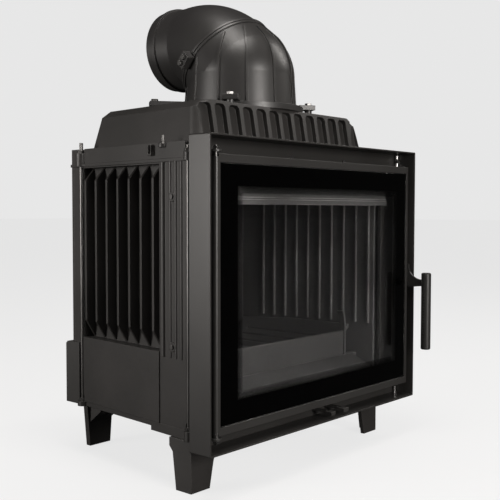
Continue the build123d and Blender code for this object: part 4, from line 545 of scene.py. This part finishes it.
def upright_loop(low, high, inset, corner, spacing):
    """Points round an upright rectangle with rounded corners, seen from the front."""
    y = (low[1] + high[1]) / 2
    left, right = low[0] + inset, high[0] - inset
    bottom, top = low[2] + inset, high[2] - inset
    points = []
    corners = (
        (right - corner, bottom + corner, -90),
        (right - corner, top - corner, 0),
        (left + corner, top - corner, 90),
        (left + corner, bottom + corner, 180),
    )
    for index, (x, z, start) in enumerate(corners):
        for step in range(corner_steps + 1):
            angle = radians(start + 90 * step / corner_steps)
            points.append(Vector((x + corner * cos(angle), y, z + corner * sin(angle))))
        next_x, next_z, next_start = corners[(index + 1) % len(corners)]
        angle = radians(next_start)
        goal = Vector((next_x + corner * cos(angle), y, next_z + corner * sin(angle)))
        run = goal - points[-1]
        steps = ceil(run.length / spacing)
        points += [points[-1] + run * (step / steps) for step in range(1, steps)]
    return points


print("braid helper ready")

# %% [markdown]
# ## Rope finish
# The rope is spun from dull heat-proof yarn. The fine bump of the cast skin, made deeper, stands
# for the yarn, and the tone moves between two dark greys, because graphite dusts the rope.

# %% Spin the ropes and put them in their places
yarn = iron_finish(
    "rope_yarn", (0.035, 0.034, 0.032), (0.070, 0.068, 0.064), (0.085, 0.083, 0.078),
    gloss=(0.82, 0.95), grain=0.0012, depth=0.00035, edge_radius=0.0006,
)
slack = 0.98
path_spacing = 0.004
facing = (0, 1, 0)
door_rope_low, door_rope_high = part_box("door_gasket")
rope_width = 0.008
door_rope = braided_loop(
    "door_rope",
    upright_loop(
        door_rope_low, door_rope_high, inset=rope_width / 2, corner=0.010, spacing=path_spacing
    ),
    facing, width=rope_width * slack, thickness=(door_rope_high[1] - door_rope_low[1]) * slack,
    strands=4, lay=0.030, square=0.7,
)
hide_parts("door_gasket")
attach(door_rope, "door")

tape_low, tape_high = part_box("glass_gasket")
tape_width = 0.0155
tape_slack = 0.90
pane_tape = braided_loop(
    "pane_tape",
    upright_loop(tape_low, tape_high, inset=tape_width / 2, corner=0.007, spacing=path_spacing),
    facing, width=tape_width * slack, thickness=(tape_high[1] - tape_low[1]) * tape_slack,
    strands=6, lay=0.020, square=0.35,
)
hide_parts("glass_gasket")
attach(pane_tape, "door")

seal_low, seal_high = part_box("flue_joint_seal")
seal_middle = (Vector(seal_low) + Vector(seal_high)) / 2
slant = Vector((0, 1, 1)).normalized()
seal_outer = (seal_high[0] - seal_low[0]) / 2
seal_width = 0.0064
seal_thickness = 0.0011
seal_steps = 180
seal_ring = seal_outer - seal_width / 2
seal_up = slant.cross(Vector((1, 0, 0)))
seal_path = [
    seal_middle + Vector((1, 0, 0)) * (seal_ring * cos(turn)) + seal_up * (seal_ring * sin(turn))
    for turn in (2 * pi * step / seal_steps for step in range(seal_steps))
]
joint_rope = braided_loop(
    "joint_rope", seal_path, slant, width=seal_width, thickness=seal_thickness,
    strands=4, lay=0.016, square=0.6,
)
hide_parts("flue_joint_seal")
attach(joint_rope, "body")
ropes = (door_rope, pane_tape, joint_rope)
for rope in ropes:
    rope.data.materials.append(yarn)
print("ropes:", [(rope.name, len(rope.data.vertices)) for rope in ropes])

# %% [markdown]
# ## Close the scene
# The view layer is brought up to date.

# %% Bring the scene up to date
bpy.context.view_layer.update()
